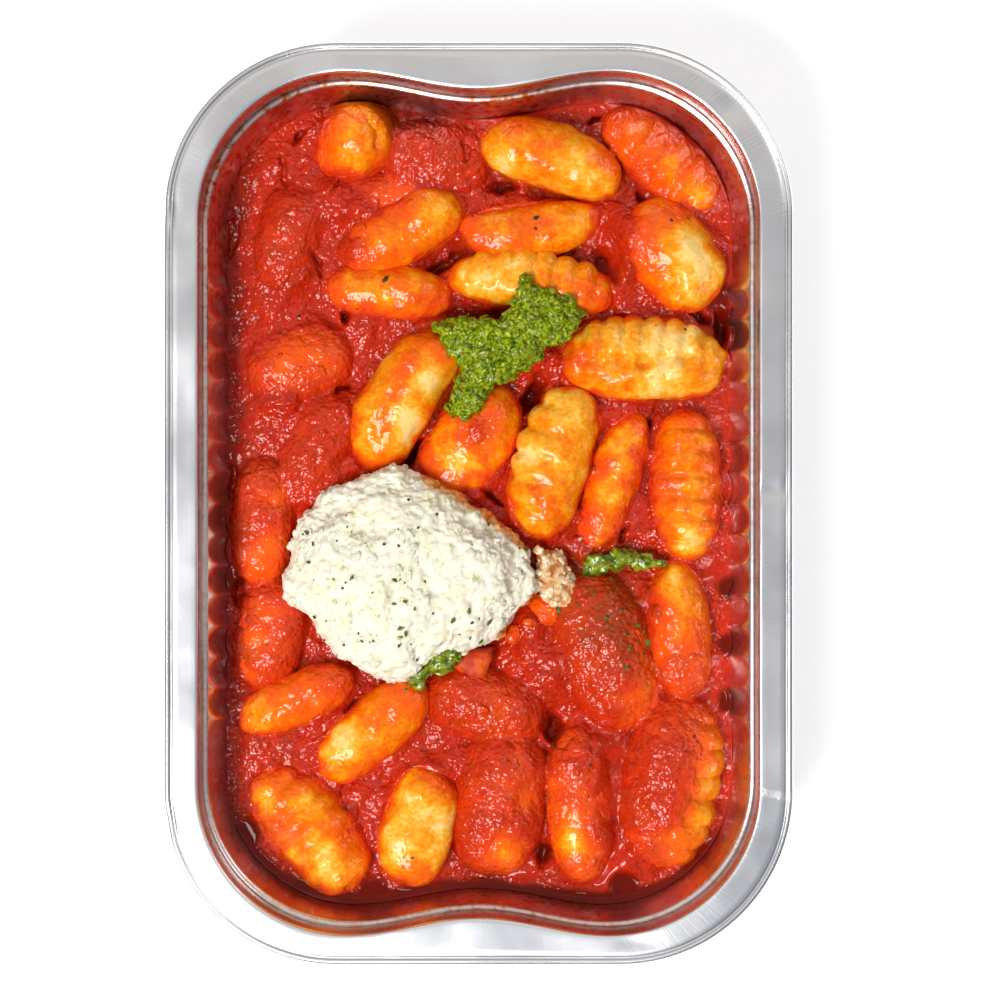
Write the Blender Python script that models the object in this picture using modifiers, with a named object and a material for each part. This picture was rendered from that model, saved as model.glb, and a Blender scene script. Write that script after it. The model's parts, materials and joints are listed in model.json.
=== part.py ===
"""Potato gnocchi in tomato sauce, with herb ricotta and green pesto, in their foil tray.

Units are metres. +Z is up, +Y runs along the tray, and the origin is the bottom
centre of the tray. The gnocchi that lie higher press into the lower ones, and
the sauce and the toppings are cut round all of them.
"""
import math
from collections import namedtuple

import bmesh
import bpy
from mathutils import Euler, Matrix, Vector
from mathutils.bvhtree import BVHTree

PART_NAME = "potato_gnocchi_tray"
MM = 0.001
GAP = 0.3 * MM                   # clearance between pieces that touch
SWELL = 1.35 * GAP               # a cutter's points move out by this, so its flats clear GAP

# Tray
TRAY_WIDTH = 131 * MM
TRAY_LENGTH = 192 * MM
TRAY_HEIGHT = 38 * MM
FOIL = 0.4 * MM
WAIST = 3.6 * MM                 # how far the short sides bow inwards
FLUTE_COUNT = 15
FLUTE_PITCH = 6.45 * MM
FLUTE_DEPTH = 1.2 * MM           # how far the cusps between flutes stand in from the wall
CORNER_STEPS = 6
END_STEPS = 6
FLAT_ANGLE = math.radians(0.5)   # faces closer to flat than this are joined

# Sauce
SAUCE_EDGE_HEIGHT = 21.5 * MM    # its level where it meets the wall
SAUCE_CROWN = 1.0 * MM           # how much higher it stands in the middle
SAUCE_SIDE_STATIONS = 4
SAUCE_RING_SCALES = (0.80, 0.45)
COAT_SPREAD = 3 * MM             # how far sauce runs down beside a coated gnocco
COAT_DEPTH = 2.6 * MM            # how far below the gnocco's top the solid sauce stops

# Gnocchi
GNOCCO_FLATNESS = 0.86           # height over width
UNDERSIDE_FLATNESS = 0.85
END_BLUNTNESS = 2.6              # 2 gives an ellipse, more a blunter end
AROUND = 8
ALONG = 6
POCKET_AROUND = 6                # a bed in the sauce has fewer sides than its gnocco
POCKET_ROOM = 1.06               # and stands this much further out
RIDGE_DEPTH = 0.7 * MM

Ring = namedtuple("Ring", "half_width half_length radius waist z flute")
Gnocco = namedtuple("Gnocco", "x y top length width yaw tilt ridges bend coated")
Topping = namedtuple("Topping", "material foot shoulder top foot_scale top_scale centre outline")


def tray_ring(side_inset, end_inset, radius, waist, z, flute=0.0):
    """A level ring of the tray, set in from the outer edge. Sizes are in millimetres."""
    return Ring(
        TRAY_WIDTH / 2 - side_inset * MM,
        TRAY_LENGTH / 2 - end_inset * MM,
        radius * MM,
        waist,
        z,
        flute,
    )


# The tray's inner skin, from the floor to the underside of the rolled bead
FLOOR_EDGE = tray_ring(21.0, 19.8, 20.0, 0.6 * WAIST, FOIL)
FLOOR_BEND = tray_ring(18.3, 17.2, 22.0, 0.8 * WAIST, 4 * MM, 0.6 * FLUTE_DEPTH)
LEDGE_INNER = tray_ring(8.6, 8.3, 30.0, WAIST, 31.0 * MM, FLUTE_DEPTH)
LEDGE_OUTER = tray_ring(7.7, 7.4, 30.6, WAIST, 31.2 * MM)
FLANGE_INNER = tray_ring(7.1, 6.2, 31.0, WAIST, TRAY_HEIGHT)
FLANGE_OUTER = tray_ring(0.5, 0.5, 35.5, 0.0, TRAY_HEIGHT)
BEAD_SIDE = tray_ring(0.0, 0.0, 36.0, 0.0, TRAY_HEIGHT - 0.8 * MM)
BEAD_FOOT = tray_ring(0.9, 0.9, 35.1, 0.0, TRAY_HEIGHT - 1.8 * MM)
TRAY_RINGS = (FLOOR_EDGE, FLOOR_BEND, LEDGE_INNER, LEDGE_OUTER,
              FLANGE_INNER, FLANGE_OUTER, BEAD_SIDE, BEAD_FOOT)

# x, y, top, length, width (mm), yaw and tilt (degrees), ridges, bend (mm), coated in sauce
GNOCCHI = (
    # the +Y end, left to right
    Gnocco(-27.0, 75.3, 29.0, 20.0, 16.0, 60, 42, 0, 0.0, False),
    Gnocco(-10.0, 73.0, 25.5, 23.0, 14.0, -8, 0, 0, 0.0, True),
    Gnocco(15.5, 72.3, 30.0, 31.0, 14.5, -17, 3, 0, 0.8, False),
    Gnocco(38.4, 72.4, 28.0, 29.5, 14.0, -40, 0, 6, 0.0, False),
    Gnocco(-40.2, 55.6, 26.0, 22.0, 12.0, 80, 0, 0, 0.0, True),
    Gnocco(-17.5, 66.3, 25.0, 18.0, 9.0, 12, 0, 0, 0.0, True),
    Gnocco(-16.5, 57.0, 28.5, 29.0, 13.5, 28, 5, 0, 0.0, False),
    Gnocco(11.0, 58.2, 28.0, 30.0, 11.5, 6, 0, 0, -0.8, False),
    Gnocco(41.0, 52.6, 30.0, 26.0, 18.5, -50, -6, 0, 0.0, False),
    Gnocco(-19.0, 45.0, 27.5, 27.0, 11.5, -4, 0, 0, 0.0, False),
    Gnocco(11.5, 46.0, 29.0, 35.5, 12.5, -8, 0, 7, 1.0, False),
    # between the pesto and the +X wall
    Gnocco(34.7, 29.8, 30.5, 35.0, 18.0, -2, 0, 6, 0.6, False),
    Gnocco(5.0, 31.3, 26.5, 24.0, 12.0, 25, 0, 0, 0.0, False),
    Gnocco(-37.8, 29.3, 27.5, 23.0, 16.0, 20, 0, 0, 0.0, True),
    Gnocco(-16.3, 22.3, 30.0, 33.5, 15.5, 57, 6, 0, 1.2, False),
    Gnocco(-2.0, 12.5, 28.5, 29.0, 18.0, 58, 6, 0, 0.0, False),
    Gnocco(16.2, 9.1, 30.5, 34.0, 17.0, 73, 0, 5, 0.6, False),
    Gnocco(28.3, 4.6, 27.0, 31.0, 11.0, 70, 0, 0, 0.0, False),
    Gnocco(43.7, 4.0, 28.5, 33.0, 15.5, 91, 0, 7, 0.0, False),
    # along the -X wall
    Gnocco(-34.4, 11.0, 26.5, 25.0, 13.0, 68, 0, 0, 0.0, True),
    Gnocco(-45.6, -4.0, 27.5, 27.0, 12.0, 88, 0, 0, 0.0, True),
    Gnocco(-44.1, -27.5, 27.0, 24.0, 14.0, 78, 0, 0, 0.0, True),
    Gnocco(-38.4, -41.5, 28.0, 26.0, 11.5, 26, 4, 0, 0.0, False),
    Gnocco(-22.5, -48.0, 28.5, 30.0, 13.5, 42, 4, 0, 0.0, False),
    # the -Y end, left to right
    Gnocco(-35.4, -68.5, 29.0, 32.0, 18.0, -51, 0, 6, 0.8, False),
    Gnocco(-12.7, -67.7, 29.0, 27.0, 16.0, 76, 0, 0, 0.0, False),
    Gnocco(1.5, -43.3, 28.0, 25.0, 15.0, -18, 0, 0, 0.0, True),
    Gnocco(5.0, -62.7, 29.0, 31.0, 18.5, 82, 0, 0, 0.8, True),
    Gnocco(21.2, -63.7, 28.5, 33.0, 13.5, 93, 0, 0, 0.0, False),
    Gnocco(27.0, -31.3, 29.0, 35.0, 20.0, -68, 0, 0, 0.0, True),
    Gnocco(42.3, -27.3, 28.0, 30.0, 13.5, 94, 0, 0, 0.0, False),
    Gnocco(41.3, -58.6, 29.5, 37.0, 20.5, 81, 0, 7, 0.8, False),
)

# Heights and outline points are in millimetres
TOPPINGS = {
    "herb_ricotta": Topping(
        "ricotta", 22.5, 30.0, 36.0, 0.82, 0.72, (-15.0, -14.0),
        ((-18.5, 9.0), (-9.0, 5.5), (1.5, -1.5), (10.5, -8.5), (13.0, -18.0),
         (4.5, -28.5), (-2.0, -31.5), (-14.5, -37.5), (-21.0, -37.5), (-31.0, -31.5),
         (-35.5, -25.0), (-41.5, -20.0), (-40.5, -11.5), (-37.5, -3.5), (-33.0, 2.0),
         (-27.5, 5.0)),
    ),
    "ricotta_crumbs": Topping(
        "ricotta", 22.8, 26.5, 28.5, 0.85, 0.6, (16.5, -16.0),
        ((12.0, -9.5), (17.0, -10.0), (20.0, -13.5), (20.5, -18.0), (19.0, -23.0),
         (15.5, -23.0), (13.5, -19.5), (12.5, -14.0)),
    ),
    "pesto_dollop": Topping(
        "pesto", 24.8, 29.5, 32.0, 0.9, 0.7, (7.0, 35.5),
        ((9.5, 48.5), (13.0, 46.8), (20.5, 42.8), (23.5, 39.5), (19.0, 35.0),
         (14.0, 32.5), (12.0, 28.8), (8.0, 26.5), (4.0, 26.0), (1.5, 21.0),
         (-3.0, 17.8), (-6.0, 17.8), (-5.0, 29.0), (-9.5, 36.0), (-6.5, 39.0),
         (3.0, 39.8), (6.8, 41.5)),
    ),
    "pesto_strip": Topping(
        "pesto", 28.2, 29.2, 30.8, 0.8, 0.5, (-9.5, -34.5),
        ((-17.0, -39.0), (-12.5, -38.5), (-7.0, -36.5), (-3.0, -32.0), (-3.2, -28.8),
         (-6.5, -30.5), (-11.0, -34.0)),
    ),
    "pesto_smear": Topping(
        "pesto", 22.8, 26.0, 27.8, 0.85, 0.5, (29.5, -11.5),
        ((21.5, -14.8), (23.0, -11.0), (29.0, -9.3), (36.0, -9.8), (38.8, -12.2),
         (34.0, -13.5), (27.0, -13.8)),
    ),
    "tomato_piece": Topping(
        "tomato", 22.8, 26.5, 28.0, 0.85, 0.7, (-0.5, -33.5),
        ((-4.0, -30.6), (2.8, -30.4), (2.8, -33.0), (1.5, -37.0), (-1.5, -37.2),
         (-6.0, -34.4)),
    ),
}
CUT_BY = {
    "herb_ricotta": ("pesto_strip", "tomato_piece"),
    "ricotta_crumbs": ("herb_ricotta",),
}

# Linear colour, metallic, roughness
FINISHES = {
    "foil": ((0.72, 0.72, 0.73), 1.0, 0.28),
    "sauce": ((0.52, 0.020, 0.006), 0.0, 0.32),
    "dough": ((0.88, 0.50, 0.12), 0.0, 0.38),
    "coated_dough": ((0.70, 0.09, 0.012), 0.0, 0.35),
    "ricotta": ((0.86, 0.83, 0.70), 0.0, 0.70),
    "pesto": ((0.11, 0.20, 0.012), 0.0, 0.50),
    "tomato": ((0.68, 0.06, 0.008), 0.0, 0.30),
}


def clear_scene():
    for item in list(bpy.data.objects):
        bpy.data.objects.remove(item, do_unlink=True)


def new_collection(name, parent):
    collection = bpy.data.collections.new(name)
    parent.children.link(collection)
    return collection


def finish_material(name):
    """The Principled material of that name, made on its first use."""
    material = bpy.data.materials.get(name)
    if material is None:
        colour, metallic, roughness = FINISHES[name]
        material = bpy.data.materials.new(name)
        material.use_nodes = True
        shader = material.node_tree.nodes["Principled BSDF"]
        shader.inputs["Base Color"].default_value = (*colour, 1.0)
        shader.inputs["Metallic"].default_value = metallic
        shader.inputs["Roughness"].default_value = roughness
    return material


def add_object(name, bm, collection, material=None):
    """Turns a bmesh into an object, shaded smooth."""
    mesh = bpy.data.meshes.new(name)
    bm.to_mesh(mesh)
    bm.free()
    mesh.shade_smooth()
    mesh.set_sharp_from_angle(angle=math.radians(40))
    if material is not None:
        mesh.materials.append(finish_material(material))
    item = bpy.data.objects.new(name, mesh)
    collection.objects.link(item)
    return item


def add_cutter(name, bm, matrix, collection):
    """A hidden solid, swollen by the clearance, that cuts the pieces it meets."""
    bm.normal_update()
    places = [vertex.co + vertex.normal * SWELL for vertex in bm.verts]
    for vertex, place in zip(bm.verts, places):
        vertex.co = place
    cutter = add_object(name, bm, collection)
    cutter.matrix_world = matrix
    cutter.hide_render = True
    cutter.display_type = "WIRE"
    return cutter


def cut(item, cutter):
    """Cuts an object, or all of a collection, out of a piece."""
    modifier = item.modifiers.new("cut_" + cutter.name, "BOOLEAN")
    modifier.operation = "DIFFERENCE"
    modifier.solver = "EXACT"
    if isinstance(cutter, bpy.types.Collection):
        modifier.operand_type = "COLLECTION"
        modifier.collection = cutter
    else:
        modifier.object = cutter


def world_tree(item):
    """A search tree of a piece's faces in world space, before its modifiers."""
    matrix = item.matrix_world
    points = [matrix @ vertex.co for vertex in item.data.vertices]
    return BVHTree.FromPolygons(points, [face.vertices[:] for face in item.data.polygons])


def outline(ring, side_stations):
    """Points round a ring, anticlockwise, starting at the -Y end of the +X side.

    side_stations holds (y, share of the flute's depth inwards) along the long side.
    """
    straight_x = ring.half_width - ring.radius
    straight_y = ring.half_length - ring.radius
    half = [(ring.half_width, -straight_y)]
    half += [(ring.half_width - share * ring.flute, y) for y, share in side_stations]

    def corner(side, start):
        for step in range(CORNER_STEPS):
            angle = start + step / CORNER_STEPS * math.pi / 2
            half.append((side * straight_x + ring.radius * math.cos(angle),
                         straight_y + ring.radius * math.sin(angle)))

    corner(1, 0.0)
    for step in range(END_STEPS):
        x = straight_x * (1 - 2 * step / END_STEPS)
        bow = ring.waist * (1 + math.cos(math.pi * x / straight_x)) / 2
        half.append((x, ring.half_length - bow))
    corner(-1, math.pi / 2)
    points = half + [(-x, -y) for x, y in half]
    return [Vector((x, y, ring.z)) for x, y in points]


def loft(loops, peak=None):
    """A skin through loops of equal length, with a face on the first.

    It is closed over the last loop by a fan when a peak point is given.
    """
    bm = bmesh.new()
    rows = [[bm.verts.new(point) for point in loop] for loop in loops]
    count = len(rows[0])
    bm.faces.new(reversed(rows[0]))
    for lower, upper in zip(rows, rows[1:]):
        for i in range(count):
            j = (i + 1) % count
            bm.faces.new((lower[i], lower[j], upper[j], upper[i]))
    if peak is not None:
        tip = bm.verts.new(peak)
        for i in range(count):
            bm.faces.new((rows[-1][i], rows[-1][(i + 1) % count], tip))
    return bm


def build_tray(collection):
    """The pressed foil tray: an open skin with a thickness, fluted on its long sides."""
    stations = [((step - FLUTE_COUNT) * FLUTE_PITCH / 2, step % 2)
                for step in range(2 * FLUTE_COUNT + 1)]
    bm = loft([outline(ring, stations) for ring in TRAY_RINGS])
    bmesh.ops.reverse_faces(bm, faces=bm.faces)
    bmesh.ops.dissolve_limit(bm, angle_limit=FLAT_ANGLE, verts=bm.verts, edges=bm.edges)
    tray = add_object("foil_tray", bm, collection, "foil")
    wall = tray.modifiers.new("foil_thickness", "SOLIDIFY")
    wall.thickness = FOIL
    wall.offset = -1.0
    wall.use_even_offset = True
    return tray


def wall_ring(z, clearance):
    """The ring at a height on the tray's lower wall, drawn in by a clearance."""
    share = (z - FLOOR_BEND.z) / (LEDGE_INNER.z - FLOOR_BEND.z)
    sizes = [a + share * (b - a) for a, b in zip(FLOOR_BEND, LEDGE_INNER)]
    return inset_ring(Ring(*sizes), clearance, z)


def inset_ring(ring, inset, z):
    return ring._replace(
        half_width=ring.half_width - inset,
        half_length=ring.half_length - inset,
        radius=ring.radius - inset,
        z=z,
    )


def sauce_height(x, y):
    """The sauce's upper surface: a low crown, with a mound under each coated gnocco."""
    spread_x = x / LEDGE_INNER.half_width
    spread_y = y / LEDGE_INNER.half_length
    height = SAUCE_EDGE_HEIGHT + SAUCE_CROWN * (1 - max(spread_x ** 2, spread_y ** 2))
    for item in GNOCCHI:
        if not item.coated:
            continue
        yaw = math.radians(item.yaw)
        dx = x - item.x * MM
        dy = y - item.y * MM
        along = (dx * math.cos(yaw) + dy * math.sin(yaw)) / (item.length * MM / 2 + COAT_SPREAD)
        across = (dy * math.cos(yaw) - dx * math.sin(yaw)) / (item.width * MM / 2 + COAT_SPREAD)
        fall = along ** 2 + across ** 2
        if fall < 1:
            rise = item.top * MM - COAT_DEPTH - SAUCE_EDGE_HEIGHT
            height = max(height, SAUCE_EDGE_HEIGHT + rise * (1 - fall ** 2))
    return height


def build_sauce(collection):
    """The sauce up to its level, with the relief of what it covers."""
    wall_gap = 1.2 * GAP
    edge = wall_ring(SAUCE_EDGE_HEIGHT, wall_gap)
    reach = FLUTE_COUNT * FLUTE_PITCH / 2
    stations = [(reach * (2 * step / (SAUCE_SIDE_STATIONS - 1) - 1), 1)
                for step in range(SAUCE_SIDE_STATIONS)]
    floor = inset_ring(FLOOR_EDGE, 2 * wall_gap, FLOOR_EDGE.z + GAP)
    bend = inset_ring(FLOOR_BEND, 1.5 * wall_gap, FLOOR_BEND.z)
    rim = outline(edge, stations)
    loops = [outline(floor, stations), outline(bend, stations), rim]
    for scale in SAUCE_RING_SCALES:
        loops.append([Vector((p.x * scale, p.y * scale, sauce_height(p.x * scale, p.y * scale)))
                      for p in rim])
    bm = loft(loops, peak=Vector((0, 0, sauce_height(0, 0))))
    return add_object("tomato_sauce", bm, collection, "sauce")


def gnocco_shape(spec, around, rows, ridges=0, girth_scale=1.0):
    """A ball drawn out along X to a blunt roll, with ridges across it where it has them."""
    length = spec.length * MM
    width = spec.width * MM * girth_scale
    height = width * GNOCCO_FLATNESS
    bm = bmesh.new()
    bmesh.ops.create_uvsphere(bm, u_segments=around, v_segments=rows, radius=1.0)
    for vertex in bm.verts:
        share = max(-1.0, min(1.0, vertex.co.z))
        groove = 0.0
        if ridges:
            row = round(math.acos(share) / math.pi * rows)
            share = 1 - 2 * row / rows
            groove = RIDGE_DEPTH if row % 2 == 0 else 0.0
        girth = math.sqrt(1 - abs(share) ** END_BLUNTNESS)
        turn = Vector((vertex.co.x, vertex.co.y))
        if turn.length > 0:
            turn.normalize()
        side = turn.x * girth * (width / 2 - groove)
        rise = turn.y * girth * (height / 2 - groove)
        if rise < 0:
            rise *= UNDERSIDE_FLATNESS
        bow = spec.bend * MM * (1 - 2 * share ** 2)
        vertex.co = Vector((share * length / 2, side + bow, rise))
    return bm


def gnocco_place(spec):
    """Where a gnocco lies: turned, tilted, and set down so that its top is at its height."""
    tilt = math.radians(spec.tilt)
    half_height = spec.width * MM * GNOCCO_FLATNESS / 2
    reach = math.hypot(spec.length * MM / 2 * math.sin(tilt), half_height * math.cos(tilt))
    place = Vector((spec.x * MM, spec.y * MM, spec.top * MM - reach))
    return Matrix.LocRotScale(place, Euler((0, -tilt, math.radians(spec.yaw))), None)


def build_gnocco(name, spec, collection):
    rows = 2 * spec.ridges + 2 if spec.ridges else ALONG
    bm = gnocco_shape(spec, AROUND, rows, spec.ridges)
    item = add_object(name, bm, collection, "coated_dough" if spec.coated else "dough")
    item.matrix_world = gnocco_place(spec)
    return item


def build_dent(name, spec, collection):
    """The cutter that a gnocco leaves its print in a softer piece with."""
    bm = gnocco_shape(spec, AROUND, ALONG + 2 if spec.ridges else ALONG)
    return add_cutter(name, bm, gnocco_place(spec), collection)


def build_pocket(name, spec, collection):
    """The cutter for a gnocco's bed in the sauce: few sides, standing outside the roll."""
    outside = POCKET_ROOM / math.cos(math.pi / POCKET_AROUND)
    bm = gnocco_shape(spec, POCKET_AROUND, ALONG, girth_scale=outside)
    return add_cutter(name, bm, gnocco_place(spec), collection)


def build_topping(name, spec, collection):
    """A spoonful: an outline that swells from its foot to a shoulder and closes to a low top."""
    centre = Vector(spec.centre)
    shoulder = [Vector(point) for point in spec.outline]
    area = sum(a.x * b.y - b.x * a.y for a, b in zip(shoulder, shoulder[1:] + shoulder[:1]))
    if area < 0:
        shoulder.reverse()

    def level(scale, z):
        return [((centre + (point - centre) * scale) * MM).to_3d() + Vector((0, 0, z * MM))
                for point in shoulder]

    loops = [
        level(spec.foot_scale, spec.foot),
        level(1.0, (spec.foot + spec.shoulder) / 2),
        level(0.96, spec.shoulder),
        level(spec.top_scale, (spec.shoulder + 2 * spec.top) / 3),
        level(spec.top_scale / 2, spec.top),
    ]
    peak = Vector((*(centre * MM), spec.top * MM))
    return add_object(name, loft(loops, peak), collection, spec.material)


def cut_where_touching(item, cutters):
    """Cuts out of a piece those of the cutters whose faces meet its own."""
    tree = world_tree(item)
    for cutter in cutters:
        if world_tree(cutter).overlap(tree):
            cut(item, cutter)


def press_together(gnocchi, dents):
    """Where two gnocchi touch, the higher keeps its shape and dents the lower."""
    order = sorted(range(len(GNOCCHI)), key=lambda i: -GNOCCHI[i].top)
    for place, lower in enumerate(order):
        cut_where_touching(gnocchi[lower], [dents[upper] for upper in order[:place]])


def main():
    clear_scene()
    scene_collection = bpy.context.scene.collection
    part = new_collection(PART_NAME, scene_collection)
    cutters = new_collection("cutters", scene_collection)
    dent_cutters = new_collection("dent_cutters", cutters)
    pocket_cutters = new_collection("pocket_cutters", cutters)

    build_tray(part)
    sauce = build_sauce(part)

    gnocchi = []
    dents = []
    for number, spec in enumerate(GNOCCHI, start=1):
        name = f"gnocco_{number:02d}"
        gnocchi.append(build_gnocco(name, spec, part))
        dents.append(build_dent(name + "_dent", spec, dent_cutters))
        build_pocket(name + "_pocket", spec, pocket_cutters)
    press_together(gnocchi, dents)

    toppings = {name: build_topping(name, spec, part) for name, spec in TOPPINGS.items()}
    swollen = {}
    for name, item in toppings.items():
        bm = bmesh.new()
        bm.from_mesh(item.data)
        swollen[name] = add_cutter(name + "_pocket", bm, item.matrix_world, pocket_cutters)
    for name, item in toppings.items():
        cut_where_touching(item, dents + [swollen[other] for other in CUT_BY.get(name, ())])
    cut(sauce, pocket_cutters)


main()
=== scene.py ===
"""Potato gnocchi in tomato sauce, dressed piece by piece round the solids of their foil tray.

The tray, the sauce, each gnocco, the herb ricotta and the pesto are built as Blender add-on
operators. Lengths in the tables are millimetres in the tray's own frame: +Y along the tray,
+Z up, and the origin at the bottom centre.
"""

import json
import math
from collections import namedtuple
from functools import partial

import bmesh
import bpy
import numpy as np
from mathutils import Euler, Matrix, Vector
from mathutils.bvhtree import BVHTree

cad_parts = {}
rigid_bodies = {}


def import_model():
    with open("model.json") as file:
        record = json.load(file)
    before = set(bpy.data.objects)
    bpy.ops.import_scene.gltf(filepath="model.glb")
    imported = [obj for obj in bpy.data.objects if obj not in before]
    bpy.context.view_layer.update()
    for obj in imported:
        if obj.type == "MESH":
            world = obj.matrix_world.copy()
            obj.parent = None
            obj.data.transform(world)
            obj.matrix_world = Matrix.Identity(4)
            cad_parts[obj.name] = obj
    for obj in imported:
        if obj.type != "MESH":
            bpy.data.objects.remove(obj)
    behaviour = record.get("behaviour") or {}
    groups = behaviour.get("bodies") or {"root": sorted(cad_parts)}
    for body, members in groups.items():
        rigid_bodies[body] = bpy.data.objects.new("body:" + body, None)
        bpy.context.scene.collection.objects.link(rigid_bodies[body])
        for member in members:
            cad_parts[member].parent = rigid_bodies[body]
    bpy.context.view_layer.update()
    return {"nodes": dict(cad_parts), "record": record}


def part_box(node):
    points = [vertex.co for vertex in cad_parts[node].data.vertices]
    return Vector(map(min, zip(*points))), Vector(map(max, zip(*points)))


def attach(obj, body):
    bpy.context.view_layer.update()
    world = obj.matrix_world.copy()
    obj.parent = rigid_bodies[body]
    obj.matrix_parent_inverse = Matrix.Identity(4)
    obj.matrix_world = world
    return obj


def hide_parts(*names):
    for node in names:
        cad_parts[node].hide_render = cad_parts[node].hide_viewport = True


bl_info = {
    "name": "Gnocchi tray",
    "version": (1, 0, 0),
    "blender": (4, 5, 0),
    "location": "View3D > Sidebar > Gnocchi tray",
    "description": "Dresses a foil tray of gnocchi in tomato sauce with herb ricotta and pesto",
    "category": "Add Mesh",
}

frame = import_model()
MM = 0.001


def linear(hex_colour):
    """The linear RGBA of an sRGB hex colour."""
    channels = [int(hex_colour[place:place + 2], 16) / 255 for place in (1, 3, 5)]
    return tuple(c / 12.92 if c <= 0.04045 else ((c + 0.055) / 1.055) ** 2.4
                 for c in channels) + (1.0,)


# ---------------------------------------------------------------- noise and small maths

def hashed(ix, iy, seed):
    """A number from 0 to 1 for each whole place, the same on every run."""
    n = (ix * 374761393 + iy * 668265263 + seed * 362437) & 0xFFFFFFFF
    n = ((n ^ (n >> 13)) * 1274126177) & 0xFFFFFFFF
    n = ((n ^ (n >> 15)) * 668265263) & 0xFFFFFFFF
    return ((n >> 8) & 0xFFFF) / 65535.0


def ripple(x, y, size, seed):
    """Smooth noise from -1 to 1 whose features are about one size across."""
    gx = x / size
    gy = y / size
    ix = np.floor(gx).astype(np.int64)
    iy = np.floor(gy).astype(np.int64)
    fx = gx - ix
    fy = gy - iy
    fx = fx * fx * (3 - 2 * fx)
    fy = fy * fy * (3 - 2 * fy)
    low = hashed(ix, iy, seed) * (1 - fx) + hashed(ix + 1, iy, seed) * fx
    high = hashed(ix, iy + 1, seed) * (1 - fx) + hashed(ix + 1, iy + 1, seed) * fx
    return 2 * (low * (1 - fy) + high * fy) - 1


def cloud(x, y, size, seed, octaves=3):
    """Noise summed over octaves, each half the size of the last."""
    total = 0.0
    for octave in range(octaves):
        turned_x = x * 0.8 - y * 0.6 + 17.3 * octave
        turned_y = x * 0.6 + y * 0.8 - 9.1 * octave
        total = total + ripple(turned_x, turned_y, size / 2 ** octave, seed + octave) / 2 ** octave
    return total


def smoothstep(low, high, value):
    share = np.clip((value - low) / (high - low), 0, 1)
    return share * share * (3 - 2 * share)


def smooth_max(a, b, reach):
    """The greater of two heights, with a fillet where they cross."""
    overlap = np.maximum(reach - np.abs(a - b), 0) / reach
    return np.maximum(a, b) + overlap * overlap * reach / 4


def bumps(spots, x, y):
    """The sum of round bumps, each (x, y, radius, height)."""
    total = np.zeros_like(x)
    for cx, cy, radius, height in spots:
        total += height * np.exp(-((x - cx) ** 2 + (y - cy) ** 2) / radius ** 2)
    return total


def line_distance(x, y, points):
    """Distance from each place to a line through points."""
    nearest = np.full_like(x, 1e9)
    for (ax, ay), (bx, by) in zip(points, points[1:]):
        run = max((bx - ax) ** 2 + (by - ay) ** 2, 1e-9)
        share = np.clip(((x - ax) * (bx - ax) + (y - ay) * (by - ay)) / run, 0, 1)
        nearest = np.minimum(nearest, np.hypot(x - ax - share * (bx - ax),
                                               y - ay - share * (by - ay)))
    return nearest


# ---------------------------------------------------------------- objects, meshes, nodes

def new_object(name, mesh):
    item = bpy.data.objects.new(name, mesh)
    bpy.context.scene.collection.objects.link(item)
    return item


def mesh_from(name, points, faces):
    """A mesh from points in millimetres and faces given as an array or a list."""
    mesh = bpy.data.meshes.new(name)
    mesh.from_pydata((np.asarray(points) * MM).tolist(), [],
                     faces if isinstance(faces, list) else faces.tolist())
    mesh.update()
    return mesh


def places(mesh):
    """A mesh's points in millimetres."""
    flat = np.empty(len(mesh.vertices) * 3)
    mesh.vertices.foreach_get("co", flat)
    return flat.reshape(-1, 3) / MM


def normals(mesh):
    flat = np.empty(len(mesh.vertices) * 3)
    mesh.vertex_normals.foreach_get("vector", flat)
    return flat.reshape(-1, 3)


def move_points(mesh, points):
    mesh.vertices.foreach_set("co", (points * MM).ravel())
    mesh.update()


def note(mesh, name, values):
    """Keeps one number for each point of a mesh under a name that the materials read."""
    layer = mesh.attributes.get(name) or mesh.attributes.new(name, "FLOAT", "POINT")
    layer.data.foreach_set("value", np.ascontiguousarray(values, dtype=np.float32))


def baked(item):
    """Applies an object's modifiers: its mesh becomes the plain mesh they give."""
    bpy.context.view_layer.update()
    depsgraph = bpy.context.evaluated_depsgraph_get()
    mesh = bpy.data.meshes.new_from_object(item.evaluated_get(depsgraph),
                                           preserve_all_data_layers=True, depsgraph=depsgraph)
    item.modifiers.clear()
    old = item.data
    item.data = mesh
    bpy.data.meshes.remove(old)
    mesh.name = item.name
    return mesh


def finished(item, slot, *nodes, material=None):
    """Makes an object a piece of the tray that stands for CAD nodes."""
    if material is not None:
        item.data.materials.clear()
        item.data.materials.append(material)
    item.data.shade_smooth()
    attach(item, "root")
    if nodes:
        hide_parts(*nodes)
    return item


def add(tree, kind, inputs=(), out=0, **settings):
    """Adds a node with its settings and links, and gives one of its outputs.

    inputs holds values or other nodes' outputs, in order or by socket name or number.
    """
    node = tree.nodes.new(kind)
    for name, value in settings.items():
        setattr(node, name, value)
    pairs = inputs.items() if isinstance(inputs, dict) else enumerate(inputs)
    for key, value in pairs:
        if isinstance(value, bpy.types.NodeSocket):
            tree.links.new(value, node.inputs[key])
        elif value is not None:
            node.inputs[key].default_value = value
    return node.outputs[out] if len(node.outputs) else node


def node_maths(tree, operation, *values, clamp=False):
    """What a Math node makes of some values."""
    return add(tree, "ShaderNodeMath", values, operation=operation, use_clamp=clamp)


def remapped(tree, value, *ranges):
    """A value carried from one range to another: low, high, new low, new high."""
    return add(tree, "ShaderNodeMapRange", [value, *ranges])


def wire(node, **outputs):
    """Links other nodes' outputs to a node's named sockets."""
    for socket, output in outputs.items():
        node.id_data.links.new(output, node.inputs[socket.replace("_", " ")])


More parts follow.
